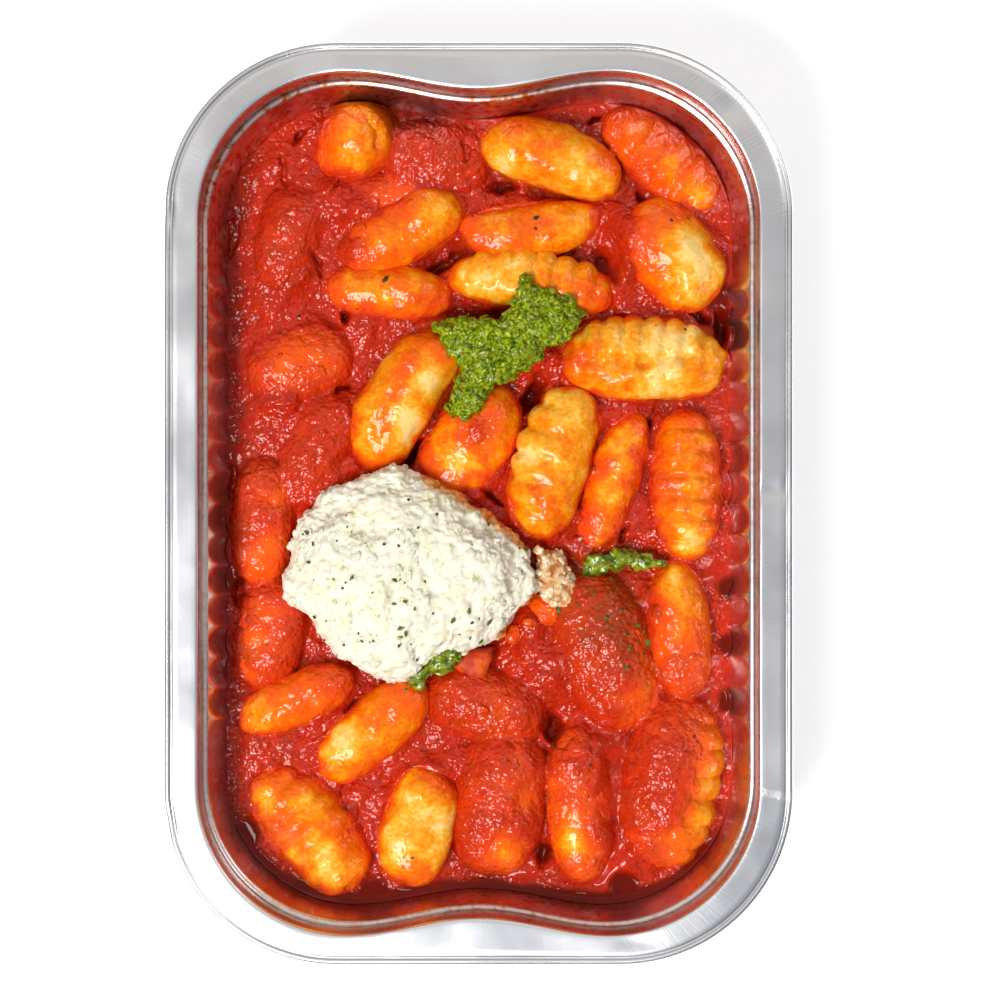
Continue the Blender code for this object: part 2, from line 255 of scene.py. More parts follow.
def new_material(name, **uniform):
    """A Principled material whose uniform values sit on the shader's own sockets.

    Gives the material, its tree, its shader, and the place on the object as an output.
    """
    material = bpy.data.materials.new(name)
    material.use_nodes = True
    tree = material.node_tree
    shader = tree.nodes["Principled BSDF"]
    for socket, value in uniform.items():
        shader.inputs[socket.replace("_", " ")].default_value = value
    return material, tree, shader, add(tree, "ShaderNodeTexCoord", out="Object")


def new_tree(name, **sockets):
    """A Geometry Nodes tree with named inputs, and the outputs of its input node."""
    tree = bpy.data.node_groups.new(name, "GeometryNodeTree")
    tree.interface.new_socket("Geometry", in_out="OUTPUT", socket_type="NodeSocketGeometry")
    tree.interface.new_socket("Geometry", in_out="INPUT", socket_type="NodeSocketGeometry")
    kinds = {int: "NodeSocketInt", float: "NodeSocketFloat"}
    for title, value in sockets.items():
        socket = tree.interface.new_socket(
            title.replace("_", " "), in_out="INPUT",
            socket_type=kinds.get(type(value), "NodeSocketMaterial"))
        if value is not None:
            socket.default_value = value
    return tree, tree.nodes.new("NodeGroupInput").outputs


def pushed(tree, geometry, distance):
    """A surface moved along its own normal."""
    offset = add(tree, "ShaderNodeVectorMath",
                 {0: add(tree, "GeometryNodeInputNormal"), "Scale": distance}, operation="SCALE")
    return add(tree, "GeometryNodeSetPosition", {"Geometry": geometry, "Offset": offset})


def noise_layers(tree, given, place, roughness, *layers):
    """Layers of noise summed: each a title, that of its size and depth inputs, and a detail."""
    maths = partial(node_maths, tree)
    total = None
    for title, detail in layers:
        grain = add(tree, "ShaderNodeTexNoise",
                    {"Vector": place, "W": given["Seed"], "Detail": detail,
                     "Roughness": roughness, "Scale": maths("DIVIDE", 1.0, given[title + " Size"])},
                    noise_dimensions="4D")
        layer = maths("MULTIPLY", maths("SUBTRACT", grain, 0.5),
                      maths("MULTIPLY", given[title + " Depth"], 2.0))
        total = layer if total is None else maths("ADD", total, layer)
    return total


def end_tree(tree, geometry, material):
    """Closes a tree with Realize Instances and Set Material."""
    real = add(tree, "GeometryNodeRealizeInstances", [geometry])
    dressed = add(tree, "GeometryNodeSetMaterial", {"Geometry": real, "Material": material})
    add(tree, "NodeGroupOutput", [dressed])


def through(item, tree, **values):
    """Runs an object through a Geometry Nodes tree and leaves the result as its plain mesh."""
    modifier = item.modifiers.new(tree.name, "NODES")
    modifier.node_group = tree
    for socket in tree.interface.items_tree:
        key = socket.name.replace(" ", "_")
        if socket.in_out == "INPUT" and key in values:
            modifier[socket.identifier] = values[key]
    return baked(item)


# ---------------------------------------------------------------- the tray's shape

# Rings of the tray's inner skin, from the rolled bead down to the floor: inset of the long
# sides and of the short ends from the outer edge, corner radius, share of the waist, height,
# and share of the flutes' depth.
TRAY_RINGS = (
    (1.00, 1.00, 35.00, 0.0, 36.20, 0.0), (0.45, 0.45, 35.55, 0.0, 36.22, 0.0),
    (0.10, 0.10, 35.90, 0.0, 36.60, 0.0), (0.00, 0.00, 36.00, 0.0, 37.15, 0.0),
    (0.16, 0.16, 35.84, 0.0, 37.66, 0.0), (0.55, 0.55, 35.45, 0.0, 37.95, 0.0),
    (0.95, 0.95, 35.05, 0.0, 37.98, 0.0), (1.25, 1.25, 34.75, 0.0, 37.80, 0.0),
    (1.45, 1.45, 34.55, 0.0, 37.62, 0.0), (1.75, 1.75, 34.25, 0.0, 37.78, 0.0),
    (2.05, 2.05, 33.95, 0.0, 37.92, 0.0), (3.00, 2.80, 33.40, 0.2, 37.94, 0.0),
    (4.20, 3.70, 32.80, 0.45, 37.96, 0.0), (5.40, 4.70, 32.00, 0.7, 37.98, 0.0),
    (6.40, 5.50, 31.40, 0.92, 38.00, 0.0), (6.85, 5.95, 31.15, 1.0, 37.98, 0.0),
    (7.07, 6.18, 31.02, 1.0, 37.84, 0.0), (7.16, 6.30, 30.98, 1.0, 37.55, 0.0),
    (7.25, 6.48, 30.92, 1.0, 36.60, 0.0), (7.40, 6.78, 30.82, 1.0, 35.00, 0.0),
    (7.55, 7.08, 30.72, 1.0, 33.20, 0.0), (7.66, 7.30, 30.64, 1.0, 31.80, 0.0),
    (7.74, 7.42, 30.58, 1.0, 31.30, 0.0), (7.92, 7.60, 30.45, 1.0, 31.10, 0.0),
    (8.30, 8.00, 30.20, 1.0, 31.05, 0.0), (8.62, 8.32, 29.98, 1.0, 30.98, 0.0),
    (8.80, 8.48, 29.90, 1.0, 30.70, 0.05), (8.95, 8.62, 29.80, 1.0, 30.20, 0.45),
    (9.15, 8.80, 29.65, 1.0, 29.50, 0.85), (9.45, 9.10, 29.45, 1.0, 28.60, 1.0),
    (10.3, 9.9, 28.80, 0.98, 26.20, 1.0), (11.3, 10.8, 28.00, 0.95, 23.40, 0.95),
    (12.3, 11.7, 27.20, 0.92, 20.60, 0.9), (13.4, 12.7, 26.30, 0.9, 17.50, 0.85),
    (15.0, 14.1, 24.90, 0.85, 13.00, 0.75), (16.6, 15.6, 23.50, 0.82, 8.60, 0.65),
    (17.9, 16.8, 22.40, 0.8, 5.00, 0.55), (18.5, 17.3, 21.90, 0.78, 3.00, 0.45),
    (19.1, 17.9, 21.40, 0.74, 1.50, 0.25), (20.0, 18.8, 20.70, 0.68, 0.70, 0.1),
    (21.0, 19.8, 20.00, 0.6, 0.40, 0.0),
)
FLOOR_SCALES = (0.8, 0.55, 0.3, 0.1)
RIM_RINGS = 17                    # rings from the bead to the rim's inner edge
OUTER_RING = 11                   # the ring that lengths round the rim are measured along
WALL_RINGS = TRAY_RINGS[26:]      # the fluted wall, from below the ledge down to the floor
CORNER_COLUMNS = 30
END_COLUMNS = 48
COLUMNS_PER_FLUTE = 13
WAIST = 3.6                       # how far the ends bow in at their middle
FLUTE_COUNT = 15
FLUTE_SHARPNESS = 0.75            # below 1 the cusps between the flutes are sharper
FOIL = 0.4                        # thickness of the wall

TrayShape = namedtuple("TrayShape", "half_width half_length waist flute_depth flute_pitch "
                                    "flute_count flute_phase foil")


def tray_shape():
    """The tray's sizes in millimetres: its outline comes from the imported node."""
    low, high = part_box("foil_tray")
    sizes = bpy.context.scene.gnocchi_tray
    return TrayShape((high.x - low.x) / 2 / MM, (high.y - low.y) / 2 / MM, WAIST,
                     sizes.flute_depth / MM, sizes.flute_pitch / MM, FLUTE_COUNT,
                     (FLUTE_COUNT % 2) / 2 + 0.5, FOIL)


def flute_inset(y, shape):
    """How far the fluted wall stands in at each place along a long side: 0 in a hollow."""
    inside = np.abs(y) <= shape.flute_count * shape.flute_pitch / 2
    wave = np.abs(np.sin(np.pi * (y / shape.flute_pitch + shape.flute_phase)))
    return np.where(inside, shape.flute_depth * (1 - wave ** FLUTE_SHARPNESS), 0.0)


def ring_columns(ring, shape):
    """The points round one ring, anticlockwise from the -Y end of the +X side."""
    side, end, radius, waist, z, _ = ring
    half_width = shape.half_width - side
    half_length = shape.half_length - end
    straight_x = half_width - radius
    straight_y = half_length - radius
    reach = shape.flute_count * shape.flute_pitch / 2
    lead = np.linspace(-straight_y, -reach, 9)[:-1]
    middle = np.linspace(-reach, reach, shape.flute_count * COLUMNS_PER_FLUTE + 1)
    along = np.concatenate((lead, middle, -lead[::-1][:-1]))
    half = [(half_width, y) for y in along]
    turn = np.linspace(0, math.pi / 2, CORNER_COLUMNS + 1)[:-1]
    half += [(straight_x + radius * math.cos(a), straight_y + radius * math.sin(a)) for a in turn]
    for share in np.linspace(1, -1, END_COLUMNS + 1)[:-1]:
        bow = waist * shape.waist * (1 + math.cos(math.pi * share)) / 2
        half.append((straight_x * share, half_length - bow))
    half += [(-straight_x - radius * math.sin(a), straight_y + radius * math.cos(a)) for a in turn]
    points = np.array(half + [(-x, -y) for x, y in half])
    return np.column_stack((points, np.full(len(points), z)))


def wall_distance(x, y, z, shape):
    """Signed distance in plan from the wall at height z: negative inside the tray."""
    sides, ends, radii, waists, heights, flutes = np.array(WALL_RINGS)[::-1].T
    side, end, radius, waist, flute = (
        float(np.interp(z, heights, values)) for values in (sides, ends, radii, waists, flutes))
    half_width = shape.half_width - side - flute * flute_inset(y, shape)
    straight_x = shape.half_width - side - radius
    share = np.clip(np.abs(x) / straight_x, 0, 1)
    bow = waist * shape.waist * (1 + np.cos(np.pi * share)) / 2
    qx = np.abs(x) - (half_width - radius)
    qy = np.abs(y) - (shape.half_length - end - bow - radius)
    return (np.hypot(np.maximum(qx, 0), np.maximum(qy, 0))
            + np.minimum(np.maximum(qx, qy), 0) - radius)


def slid_to_wall(x, y, z, gap, shape):
    """Places moved straight at the wall, or away from it, until gap is left at height z."""
    step = 0.02
    for _ in range(4):
        here = wall_distance(x, y, z, shape) + gap
        slope_x = (wall_distance(x + step, y, z, shape) + gap - here) / step
        slope_y = (wall_distance(x, y + step, z, shape) + gap - here) / step
        steep = np.maximum(slope_x ** 2 + slope_y ** 2, 0.1)
        x = x - here * slope_x / steep
        y = y - here * slope_y / steep
    return x, y


# ---------------------------------------------------------------- the gnocchi

# yaw and tilt (degrees), length, width, number of fork ridges, the ridged side (degrees from
# the roll's left, 90 is its top), bend, film of sauce (0 bare, 1 red, more a coat), and
# patches (dx, dy, radius, change of film) from the roll's centre, a few of which also paint
# highlight and shade as noted at their rolls; then dents, each a line from (ax, ay) to (bx, by)
# with its half width and depth (a nub where the depth is negative).
Roll = namedtuple("Roll", "yaw tilt length width ridges side bend film patches dents",
                  defaults=((), ()))
ROLLS = {
    # the pale patch at (0, -2) is partly a painted highlight on the roll's top
    "gnocco_01": Roll(60, 42, 20, 16, 0, 90, 0, 0.50,
                      ((0, -2, 3.5, -0.22), (-7, 1, 3, 0.5), (-3, -7, 3, 0.25),
                       (-5, 6, 4, 0.4), (5, 4, 3, -0.05)),
                      ((5.8, 0, 6.4, 6, 0.8, 0.8),)),
    "gnocco_02": Roll(-8, 0, 23, 14, 0, 90, 0, 1.45),
    "gnocco_03": Roll(-17, 3, 31, 14.5, 0, 90, 0.8, 0.46,
                      ((-10, 0, 5, -0.24), (5, -4, 6, -0.24), (0, 4, 4, 0.14),
                       (13, 2, 4, 0.5), (-8, 6, 3, 0.2), (-2, -3, 3, 0.1))),
    "gnocco_04": Roll(-40, 0, 29.5, 14, 6, 90, 0, 0.88,
                      ((-5, 7, 3, -0.4), (1, -2, 3.5, -0.45), (8, -8, 4, -0.55),
                       (4, 6, 4, 0.4), (-9, 10, 4, 0.4), (-4, -3, 3, 0.3))),
    "gnocco_05": Roll(80, 0, 22, 12, 0, 90, 0, 1.42),
    "gnocco_06": Roll(12, 0, 18, 9, 0, 90, 0, 1.0, ((0, -1, 3, -0.3),)),
    "gnocco_07": Roll(28, 5, 29, 13.5, 0, 90, 0, 0.56,
                      ((-10, -3, 5, 0.65), (8, 4, 6, -0.14), (-3, -2, 3, -0.1),
                       (-1, 6, 3.5, 0.4), (1, -6, 4, 0.1))),
    "gnocco_08": Roll(6, 0, 30, 11.5, 0, 90, -0.8, 0.56,
                      ((-9, 1, 3, -0.2), (10, -1, 5, -0.08), (4, 4, 3, -0.18),
                       (-2, -3, 3, 0.2), (-13, -2, 4, 0.5), (3, 0, 2.5, 0.15))),
    "gnocco_09": Roll(-50, -6, 26, 18.5, 0, 90, 0, 0.42,
                      ((4, -3, 6, -0.4), (3, 4, 5, -0.2), (-9.5, 3, 5.5, 0.75),
                       (-6, -6, 4, 0.3), (1, 9, 3, 0.6), (10, 1, 3, 0.35), (3, -9, 3, -0.2)),
                      ((0.8, -5.2, 1.2, -8.8, 0.8, 0.9), (4.5, -9.0, 4.6, -9.0, 2.6, -0.9))),
    "gnocco_10": Roll(-4, 0, 27, 11.5, 0, 90, 0, 0.54,
                      ((-11, 1, 4, 0.2), (5, -2, 2.5, 0.35), (9, 2, 3, -0.2),
                       (3, -4, 3, -0.2), (-5, 1, 4, -0.14), (12, -2, 3, 0.3))),
    "gnocco_11": Roll(-8, 0, 35.5, 12.5, 8, 40, 1, 0.40,
                      ((-13, -1, 6, -0.34), (14, -4, 5, 0.38), (2, 1, 6, 0.08),
                       (-6, -5, 4, 0.15))),
    "gnocco_12": Roll(-2, 0, 35, 18, 8, 40, 0.6, 0.27,
                      ((3, 3, 7, -0.2), (-14, 0, 5, 0.4), (-3, -2, 4, 0.2), (14, -6, 4, 0.2),
                       (-8, -6, 4, 0.15), (5, -6, 5, -0.06)),
                      ((-12, -0.4, 0, -0.8, 1.4, 1.1), (0, -0.8, 10, 1.0, 1.4, 1.0),
                       (17.8, 1.5, 18.2, 1.5, 1.0, -1.8))),
    "gnocco_13": Roll(25, 0, 24, 12, 0, 90, 0, 0.40, ((4, -3, 5, 0.15),)),
    "gnocco_14": Roll(20, 0, 23, 16, 0, 90, 0, 1.14, ((-3, 0, 3.2, -0.40), (4, 1, 3.2, -0.40),
                                                      (0, 6, 3, -0.1))),
    "gnocco_15": Roll(57, 6, 33.5, 15.5, 0, 90, 1.2, 0.42,
                      ((1, 6, 2.5, 0.34), (-2, 1, 2.5, 0.36), (-4, -4, 2.8, 0.34),
                       (5, 4, 3.8, -0.4), (0, -4, 4, -0.42), (-8, 0, 4, 0.1),
                       (6, 11, 5, 0.2), (4, -1, 2, 0.15)),
                      ((-5, -7, 1, 5, 1.6, 0.5),)),
    "gnocco_16": Roll(58, 6, 29, 18, 0, 90, 0, 0.52,
                      ((2, 4, 5, 0.6), (-7, -1, 4, -0.22), (-1, -4, 3, -0.2), (7, 0, 4, -0.1),
                       (1, 1, 3, 0.3), (-2, 9, 4, 0.3))),
    # the +0.3 patch at (0, -9) is partly painted shade on the roll's lower end
    "gnocco_17": Roll(73, 0, 34, 17, 6, 20, 0.6, 0.32,
                      ((-1, 12, 6, -0.2), (-6, 1, 4.5, -0.26), (0, -9, 6, 0.3), (4, 2, 4, 0.12),
                       (-2, -4, 4, 0.12), (5, -4, 3, -0.12), (0, 5, 4, 0.1))),
    "gnocco_18": Roll(70, 0, 31, 11, 0, 90, 0, 0.46,
                      ((-4.5, 3, 3, 0.55), (-6, -8, 3.5, 0.6), (1, 6, 3, -0.2),
                       (-1, -4, 3, -0.22), (3, 13, 3, -0.1), (3, -8, 3, 0.3))),
    "gnocco_19": Roll(91, 0, 33, 15.5, 7, 90, 0, 0.60,
                      ((0, -13, 4, -0.45), (-7, 0, 3.5, 0.45), (-6, 8, 3.5, 0.3),
                       (7, 4, 3.5, 0.4), (7, -6, 3.5, 0.4), (0, 4, 5, -0.16),
                       (0, 14, 4, 0.2), (0, -5, 4, -0.1))),
    "gnocco_20": Roll(68, 0, 25, 13, 0, 90, 0, 1.42),
    "gnocco_21": Roll(88, 0, 27, 12, 0, 90, 0, 1.26, ((2, -5, 3, -0.45), (-1, -9, 3, -0.5),
                                                      (3, 5, 2.5, -0.3))),
    "gnocco_22": Roll(78, 0, 24, 14, 0, 90, 0, 1.22, ((-1, 4, 2.2, -0.3), (-3, -1.5, 2.2, -0.35),
                                                      (-5, -8.5, 3, -0.35))),
    "gnocco_23": Roll(26, 4, 26, 11.5, 0, 90, 0, 0.64,
                      ((-8, -4, 4.5, -0.24), (9, 5, 6, 0.4), (2, 3, 4, 0.12), (4, -2, 3, 0.1))),
    # the +0.3 patch at (9, 8) is partly painted shadow of the ricotta on the roll's top end
    "gnocco_24": Roll(42, 4, 30, 13.5, 0, 90, 0, 0.50,
                      ((-7, -2, 4.5, -0.42), (9, 8, 5, 0.3), (1, 5, 4, 0.12), (3, -3, 4, -0.05),
                       (-3, -7, 3, 0.1))),
    "gnocco_25": Roll(-51, 0, 32, 18, 6, 90, 0.8, 0.60,
                      ((-1, 6, 3, -0.38), (-9, 6, 3, -0.38), (2.5, -4, 3, -0.36),
                       (3.5, -8.5, 2.8, -0.38), (-4, -5, 2, -0.3), (-8, 1, 4, 0.2),
                       (8, 0, 4, 0.3), (0, 1, 2.5, 0.1), (-1, 12, 4, 0.2))),
    "gnocco_26": Roll(76, 0, 27, 16, 0, 90, 0, 0.36,
                      ((5, 2, 4, -0.3), (-4, -5, 4, -0.26), (-1, 6, 4, -0.1), (-7, 3, 3, 0.4),
                       (0, -10.5, 4, 0.35), (-1, 11, 3, 0.2), (6, 9, 4, 0.5), (1, -3, 2, 0.15))),
    "gnocco_27": Roll(-18, 0, 25, 15, 0, 90, 0, 1.34, ((0, 1, 3, -0.2),)),
    "gnocco_28": Roll(82, 0, 31, 18.5, 0, 90, 0.8, 1.34, ((1, -11, 4.5, -0.75), (6, 2, 4, -0.2))),
    "gnocco_29": Roll(93, 0, 33, 13.5, 0, 90, 0, 1.06,
                      ((-1.5, -2, 3, -0.45), (-2, -7.5, 4, -0.8), (0, 8, 6, 0.35),
                       (5, -6, 3, 0.5), (-5, 4, 3, -0.1))),
    "gnocco_30": Roll(-68, 0, 35, 20, 0, 90, 0, 1.42, ((9, -8, 4, -0.6), (9, 1, 4, -0.5),
                                                       (6, -14, 4, -0.3))),
    "gnocco_31": Roll(94, 0, 30, 13.5, 0, 90, 0, 0.80,
                      ((-1, 12, 5, -0.5), (0, 5, 2.5, -0.3), (-0.5, 1, 2.5, -0.3),
                       (4.5, 4, 3, -0.15), (-5, 3, 3, 0.4), (0, -9, 6, 0.4))),
    "gnocco_32": Roll(81, 0, 37, 20.5, 7, 160, 0.8, 1.22,
                      ((9.5, 12, 4, -0.5), (10, 6, 4.2, -0.75), (9.2, 0, 4.2, -0.75),
                       (7.5, -6, 4.5, -0.7), (5, -11, 4.5, -0.6), (1, -15, 4, -0.5),
                       (-5, 0, 9, 0.3)),
                      ((9.5, 7, 9.5, -5, 4, -1.2), (7, -9, 2, -15, 3.5, -0.8))),
}
FLATNESS = 0.86                   # a roll's height over its width
UNDERSIDE = 0.85
BLUNTNESS = 3.0                   # 2 gives an ellipse, more a blunter end
CLING = 4.2                       # height that the sauce climbs up a roll

Seat = namedtuple("Seat", "x y z half_length half_width half_height matrix")


def seats():
    """Where each roll lies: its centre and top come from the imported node."""
    found = {}
    for node, roll in ROLLS.items():
        low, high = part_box(node)
        middle = (low + high) / 2 / MM
        tilt = math.radians(roll.tilt)
        half_height = roll.width * FLATNESS / 2
        reach = math.hypot(roll.length / 2 * math.sin(tilt), half_height * math.cos(tilt))
        z = high.z / MM - reach
        matrix = Matrix.LocRotScale(Vector((middle.x, middle.y, z)),
                                    Euler((0, -tilt, math.radians(roll.yaw))), None)
        found[node] = Seat(middle.x, middle.y, z, roll.length / 2, roll.width / 2,
                           half_height, matrix)
    return found


def cover(node, seat, x, y, rise=None):
    """How much sauce lies on a roll: 0 is bare dough, 1 a red film, more a coat.

    rise is how high the roll's skin stands above the sauce round it: sauce clings low down.
    """
    roll = ROLLS[node]
    seed = int(node[-2:]) * 13
    total = roll.film + 0.13 * cloud(x, y, 5.0, seed, 2) + 0.10 * cloud(x, y, 2.0, seed + 5, 3)
    if rise is not None:
        clinging = 1 - smoothstep(0.2, CLING, rise + 1.3 * cloud(x, y, 2.8, seed + 9, 2))
        total = total + np.maximum(1.35 - total, 0) * clinging
    for dx, dy, radius, change in roll.patches:
        total = total + change * np.exp(-((x - seat.x - dx) ** 2 + (y - seat.y - dy) ** 2)
                                        / radius ** 2)
    return total


def roll_shares(seat, x, y):
    """Places in a roll's own plan: along and across, 1 at its ends and sides."""
    yaw = seat.matrix.to_euler().z
    dx = x - seat.x
    dy = y - seat.y
    return ((dx * math.cos(yaw) + dy * math.sin(yaw)) / seat.half_length,
            (dy * math.cos(yaw) - dx * math.sin(yaw)) / seat.half_width)


def gnocco_tree():
    """Shapes one rolled gnocco: a blunt ball drawn out, fork ridges on one side, and lumps."""
    tree, given = new_tree("Rolled gnocco", Length=0.03, Width=0.014, Height=0.012,
                           Bluntness=2.6, Bend=0.0, Ridges=0.0, Ridge_Depth=0.0007,
                           Ridge_Side=1.57, Lump_Size=0.009, Lump_Depth=0.0008,
                           Dimple_Size=0.0025, Dimple_Depth=0.0002, Seed=0.0,
                           Material=None)
    maths = partial(node_maths, tree)
    ball = add(tree, "GeometryNodeMeshUVSphere", {"Segments": 96, "Rings": 76, "Radius": 1.0})
    place = add(tree, "GeometryNodeInputPosition")
    apart = add(tree, "ShaderNodeSeparateXYZ", [place]).node.outputs
    share = apart[2]
    squares = maths("ADD", maths("MULTIPLY", apart[0], apart[0]),
                    maths("MULTIPLY", apart[1], apart[1]))
    plan = maths("MAXIMUM", maths("POWER", squares, 0.5), 1e-6)
    side = maths("DIVIDE", apart[0], plan)
    rise = maths("DIVIDE", apart[1], plan)
    blunt = maths("POWER", maths("ABSOLUTE", share), given["Bluntness"])
    girth = maths("POWER", maths("MAXIMUM", maths("SUBTRACT", 1.0, blunt), 0.0), 0.5)
    phase = maths("MULTIPLY", maths("MULTIPLY", maths("ADD", share, 1.0), given["Ridges"]),
                  math.pi / 2)
    groove = maths("POWER", maths("SUBTRACT", 1.0, maths("ABSOLUTE", maths("SINE", phase))), 1.15)
    facing = maths("ADD", maths("MULTIPLY", side, maths("COSINE", given["Ridge Side"])),
                   maths("MULTIPLY", rise, maths("SINE", given["Ridge Side"])))
    ridged = add(tree, "ShaderNodeMapRange", [facing, 0.0, 0.6, 0.0, 1.0],
                 interpolation_type="SMOOTHSTEP")
    some = maths("MINIMUM", given["Ridges"], 1.0)
    cut = maths("MULTIPLY", maths("MULTIPLY", groove, given["Ridge Depth"]),
                maths("MULTIPLY", ridged, some))
    half_width = maths("SUBTRACT", maths("MULTIPLY", given["Width"], 0.5), cut)
    half_height = maths("SUBTRACT", maths("MULTIPLY", given["Height"], 0.5), cut)
    low = maths("LESS_THAN", rise, 0.0)
    under = maths("SUBTRACT", 1.0, maths("MULTIPLY", low, 1.0 - UNDERSIDE))
    bow = maths("MULTIPLY", given["Bend"],
                maths("SUBTRACT", 1.0, maths("MULTIPLY", maths("MULTIPLY", share, share), 2.0)))
    x = maths("MULTIPLY", share, maths("MULTIPLY", given["Length"], 0.5))
    y = maths("ADD", maths("MULTIPLY", maths("MULTIPLY", side, girth), half_width), bow)
    z = maths("MULTIPLY", maths("MULTIPLY", maths("MULTIPLY", rise, girth), half_height), under)
    shaped = add(tree, "GeometryNodeSetPosition",
                 {"Geometry": ball, "Position": add(tree, "ShaderNodeCombineXYZ", [x, y, z])})
    lumps = noise_layers(tree, given, place, 0.5, ("Lump", 1.0), ("Dimple", 3.0))
    end_tree(tree, pushed(tree, shaped, lumps), given["Material"])
    return tree


# ---------------------------------------------------------------- the sauce

SAUCE_GRID = 0.35
EDGE_LEVEL = 21.5
WALL_SLOPE = 0.36                 # how far the wall draws in over each millimetre down
EDGE_GAP = -0.12                  # the sauce wets the wall, so its rim reaches into the foil
CROWN = 1.0
HEAPS = (
    (-36, 66, 6, 1.6), (-41, 60, 4, 2.0), (-40, 52, 4.5, 2.6), (-44, 72, 6, 1.0),
    (-12, 76, 9, 1.0), (-14, 66, 5, 1.6), (-27, 84, 6, 2.6), (-34, 79, 4, 1.8),
    (-24, 38, 5, 2.6), (-15, 38, 5, 1.2), (-43, 42, 6, 2.4), (-30, 62, 5, 2.6),
    (-24, 63, 4, 2.2), (-41, 20, 7, 2.6), (-46, 12, 5, 1.2), (-33, 4, 6, 2.2),
    (-30, 20, 5, 1.4), (-31, 12, 5, 1.4), (-15, -14, 20, 1.8), (12, -33, 7, 3.0),
    (11, -25, 5, 2.6), (9, -40, 5, 1.8), (16, -37, 4, 1.8), (-47, -52, 5, 1.6),
    (-42, -52, 5, 1.4), (-25, -62, 5, 1.8), (-23, -70, 3, 1.6), (27, -52, 5, 3.6),
    (27, -61, 5, 3.4), (27, -70, 5, 2.6), (30, -76, 4, 1.6), (-7, 65, 6, 0.6),
    (31, 58, 4.5, 3.4), (32, 50, 4, 1.6), (27, 62, 5, 1.2), (44, 62, 4, 1.2),
    (-50, 62, 4, -0.6), (-28, 52, 5, 1.6), (47, -36, 4, -0.6), (-36, -55, 5, 0.8),
    (-6, -57, 4, 1.4), (-10, -50, 6, 1.0), (-4, -54, 3, 1.0), (52, 56, 3, 1.2),
    (32, 2, 4, 1.6), (33, -6, 4, 1.8), (31, 12, 3, 1.2), (22, 17, 3, 0.6),
    (-33, -36, 5, 1.0), (-30, -44, 4, 0.6), (37, 82, 4, 1.4), (52, 70, 3, 1.2),
    (36, -20, 3.5, 3.2), (36, -29, 3.5, 3.2), (37, -40, 4, 2.0), (-19, -55, 4, 1.0),
    (-14, -80, 4, 1.0), (30, -80, 4, 1.6), (50, -50, 3, 1.0), (19, -78, 3, 1.0),
)
# Dark gaps where the sauce hasn't closed between the rolls, darkened further with painted
# shade: x, y, half length, half width, turn (degrees), depth
PITS = (
    (-37.5, 77.5, 2.0, 0.6, 50, 2.0), (-2.0, 74.5, 1.8, 0.6, 100, 2.5),
    (-28.0, 38.8, 1.6, 0.9, 80, 3.0), (-34.0, 49.5, 4.0, 0.5, 110, 1.6),
    (5.5, 66.3, 3.2, 0.9, 0, 2.6), (24.4, 80.8, 1.4, 0.6, 20, 2.5),
    (34.8, 64.8, 1.6, 0.6, -60, 2.5), (27.0, 50.5, 4.0, 1.6, -55, 2.2),
    (11.0, 22.5, 4.0, 1.3, 58, 5.0), (35.8, 16.8, 2.0, 0.5, 75, 2.5),
    (30.2, -6.0, 2.0, 0.7, 70, 2.5), (-14.2, 10.4, 3.0, 1.1, 50, 6.0),
    (-51.0, -18.5, 2.6, 1.2, 100, 2.5), (15.7, -47.5, 3.0, 1.6, 110, 3.0),
    (-7.5, 50.5, 4.2, 1.1, 22, 2.6), (46.0, 41.0, 3.6, 1.2, -45, 3.0),
    (51.5, 36.5, 3.4, 1.5, 90, 3.0), (-28.4, 24.0, 1.8, 0.7, 0, 2.6),
    (-41.5, 70.0, 3.4, 0.5, 100, 1.4), (-4.6, 31.0, 2.0, 0.6, 60, 3.0),
    (-52.5, 55.0, 4.0, 1.0, 80, 1.6), (-52.5, 5.0, 4.0, 1.0, 90, 1.6),
    (-29.0, 69.0, 3.6, 0.5, 70, 1.4), (-26.5, -42.5, 2.4, 0.7, 30, 2.0),
    (13.8, -74.0, 3.0, 1.0, 80, 1.5), (20.0, 2.0, 2.6, 0.8, 60, 3.0),
    (3.4, 1.4, 3.6, 0.7, -36, 2.6), (21.5, -6.0, 2.4, 0.8, 40, 2.0),
)
# Places where oil and thin tomato juice stand clear and smooth
JUICE = (
    (-49, -70, 3.6), (-22, -82.5, 4.5), (-37, -81, 2.6), (31, -81, 3.4), (53, -30, 3.0),
    (53, -18, 3.0), (53, -42, 3.0), (14, -74, 2.2), (52, 38, 4), (50, 44, 4), (-51.5, -16, 2.5),
)
# Places where the sauce lies smooth
CALM = ((27, -51, 4.5), (27, -58, 5), (27, -65, 5), (29, -76, 5), (24, -80, 4), (-16, -47, 5),
        (49, -14, 4), (49.5, -24, 4), (49.5, -34, 4), (49, -42, 4), (28, 49, 4), (46, -60, 6),
        (43, -70, 5), (-9, -56, 3.5), (-22, -75, 3), (33, -2, 3), (-52, 50, 4), (-52, 30, 4),
        (-52, 66, 3.5), (-51, 10, 3.5), (9, -78, 4))
# Where pesto has bled into the sauce
HERB_TINT = ((27, -20, 8, 0.7), (32, -27, 6, 0.5), (15, -18, 5, 0.6), (23, -12, 4, 0.6),
             (34, -32, 4, 0.35), (24, -30, 5, 0.3))
COAT_THICKNESS = 2.3              # thickness gained for each unit of cover over 1
COAT_LIMIT = 1.2
OPEN_SAUCE = 1.6                  # the cover that stands for sauce with no dough under it
CLIMB_HEIGHT = 1.6                # how high the sauce is drawn up round a roll
CLIMB_REACH = 1.7                 # how far out it falls off
CLIMB_LIMIT = 1.3                 # its greatest share of that height, close to a roll
LOWEST_SAUCE = 14.0
# The sauce's hidden sides: height, and the gap left to the wall
SAUCE_SIDES = ((20.4, 0.25), (17.0, 0.35), (12.0, 0.4), (7.0, 0.45), (3.0, 0.5), (0.72, 1.3))


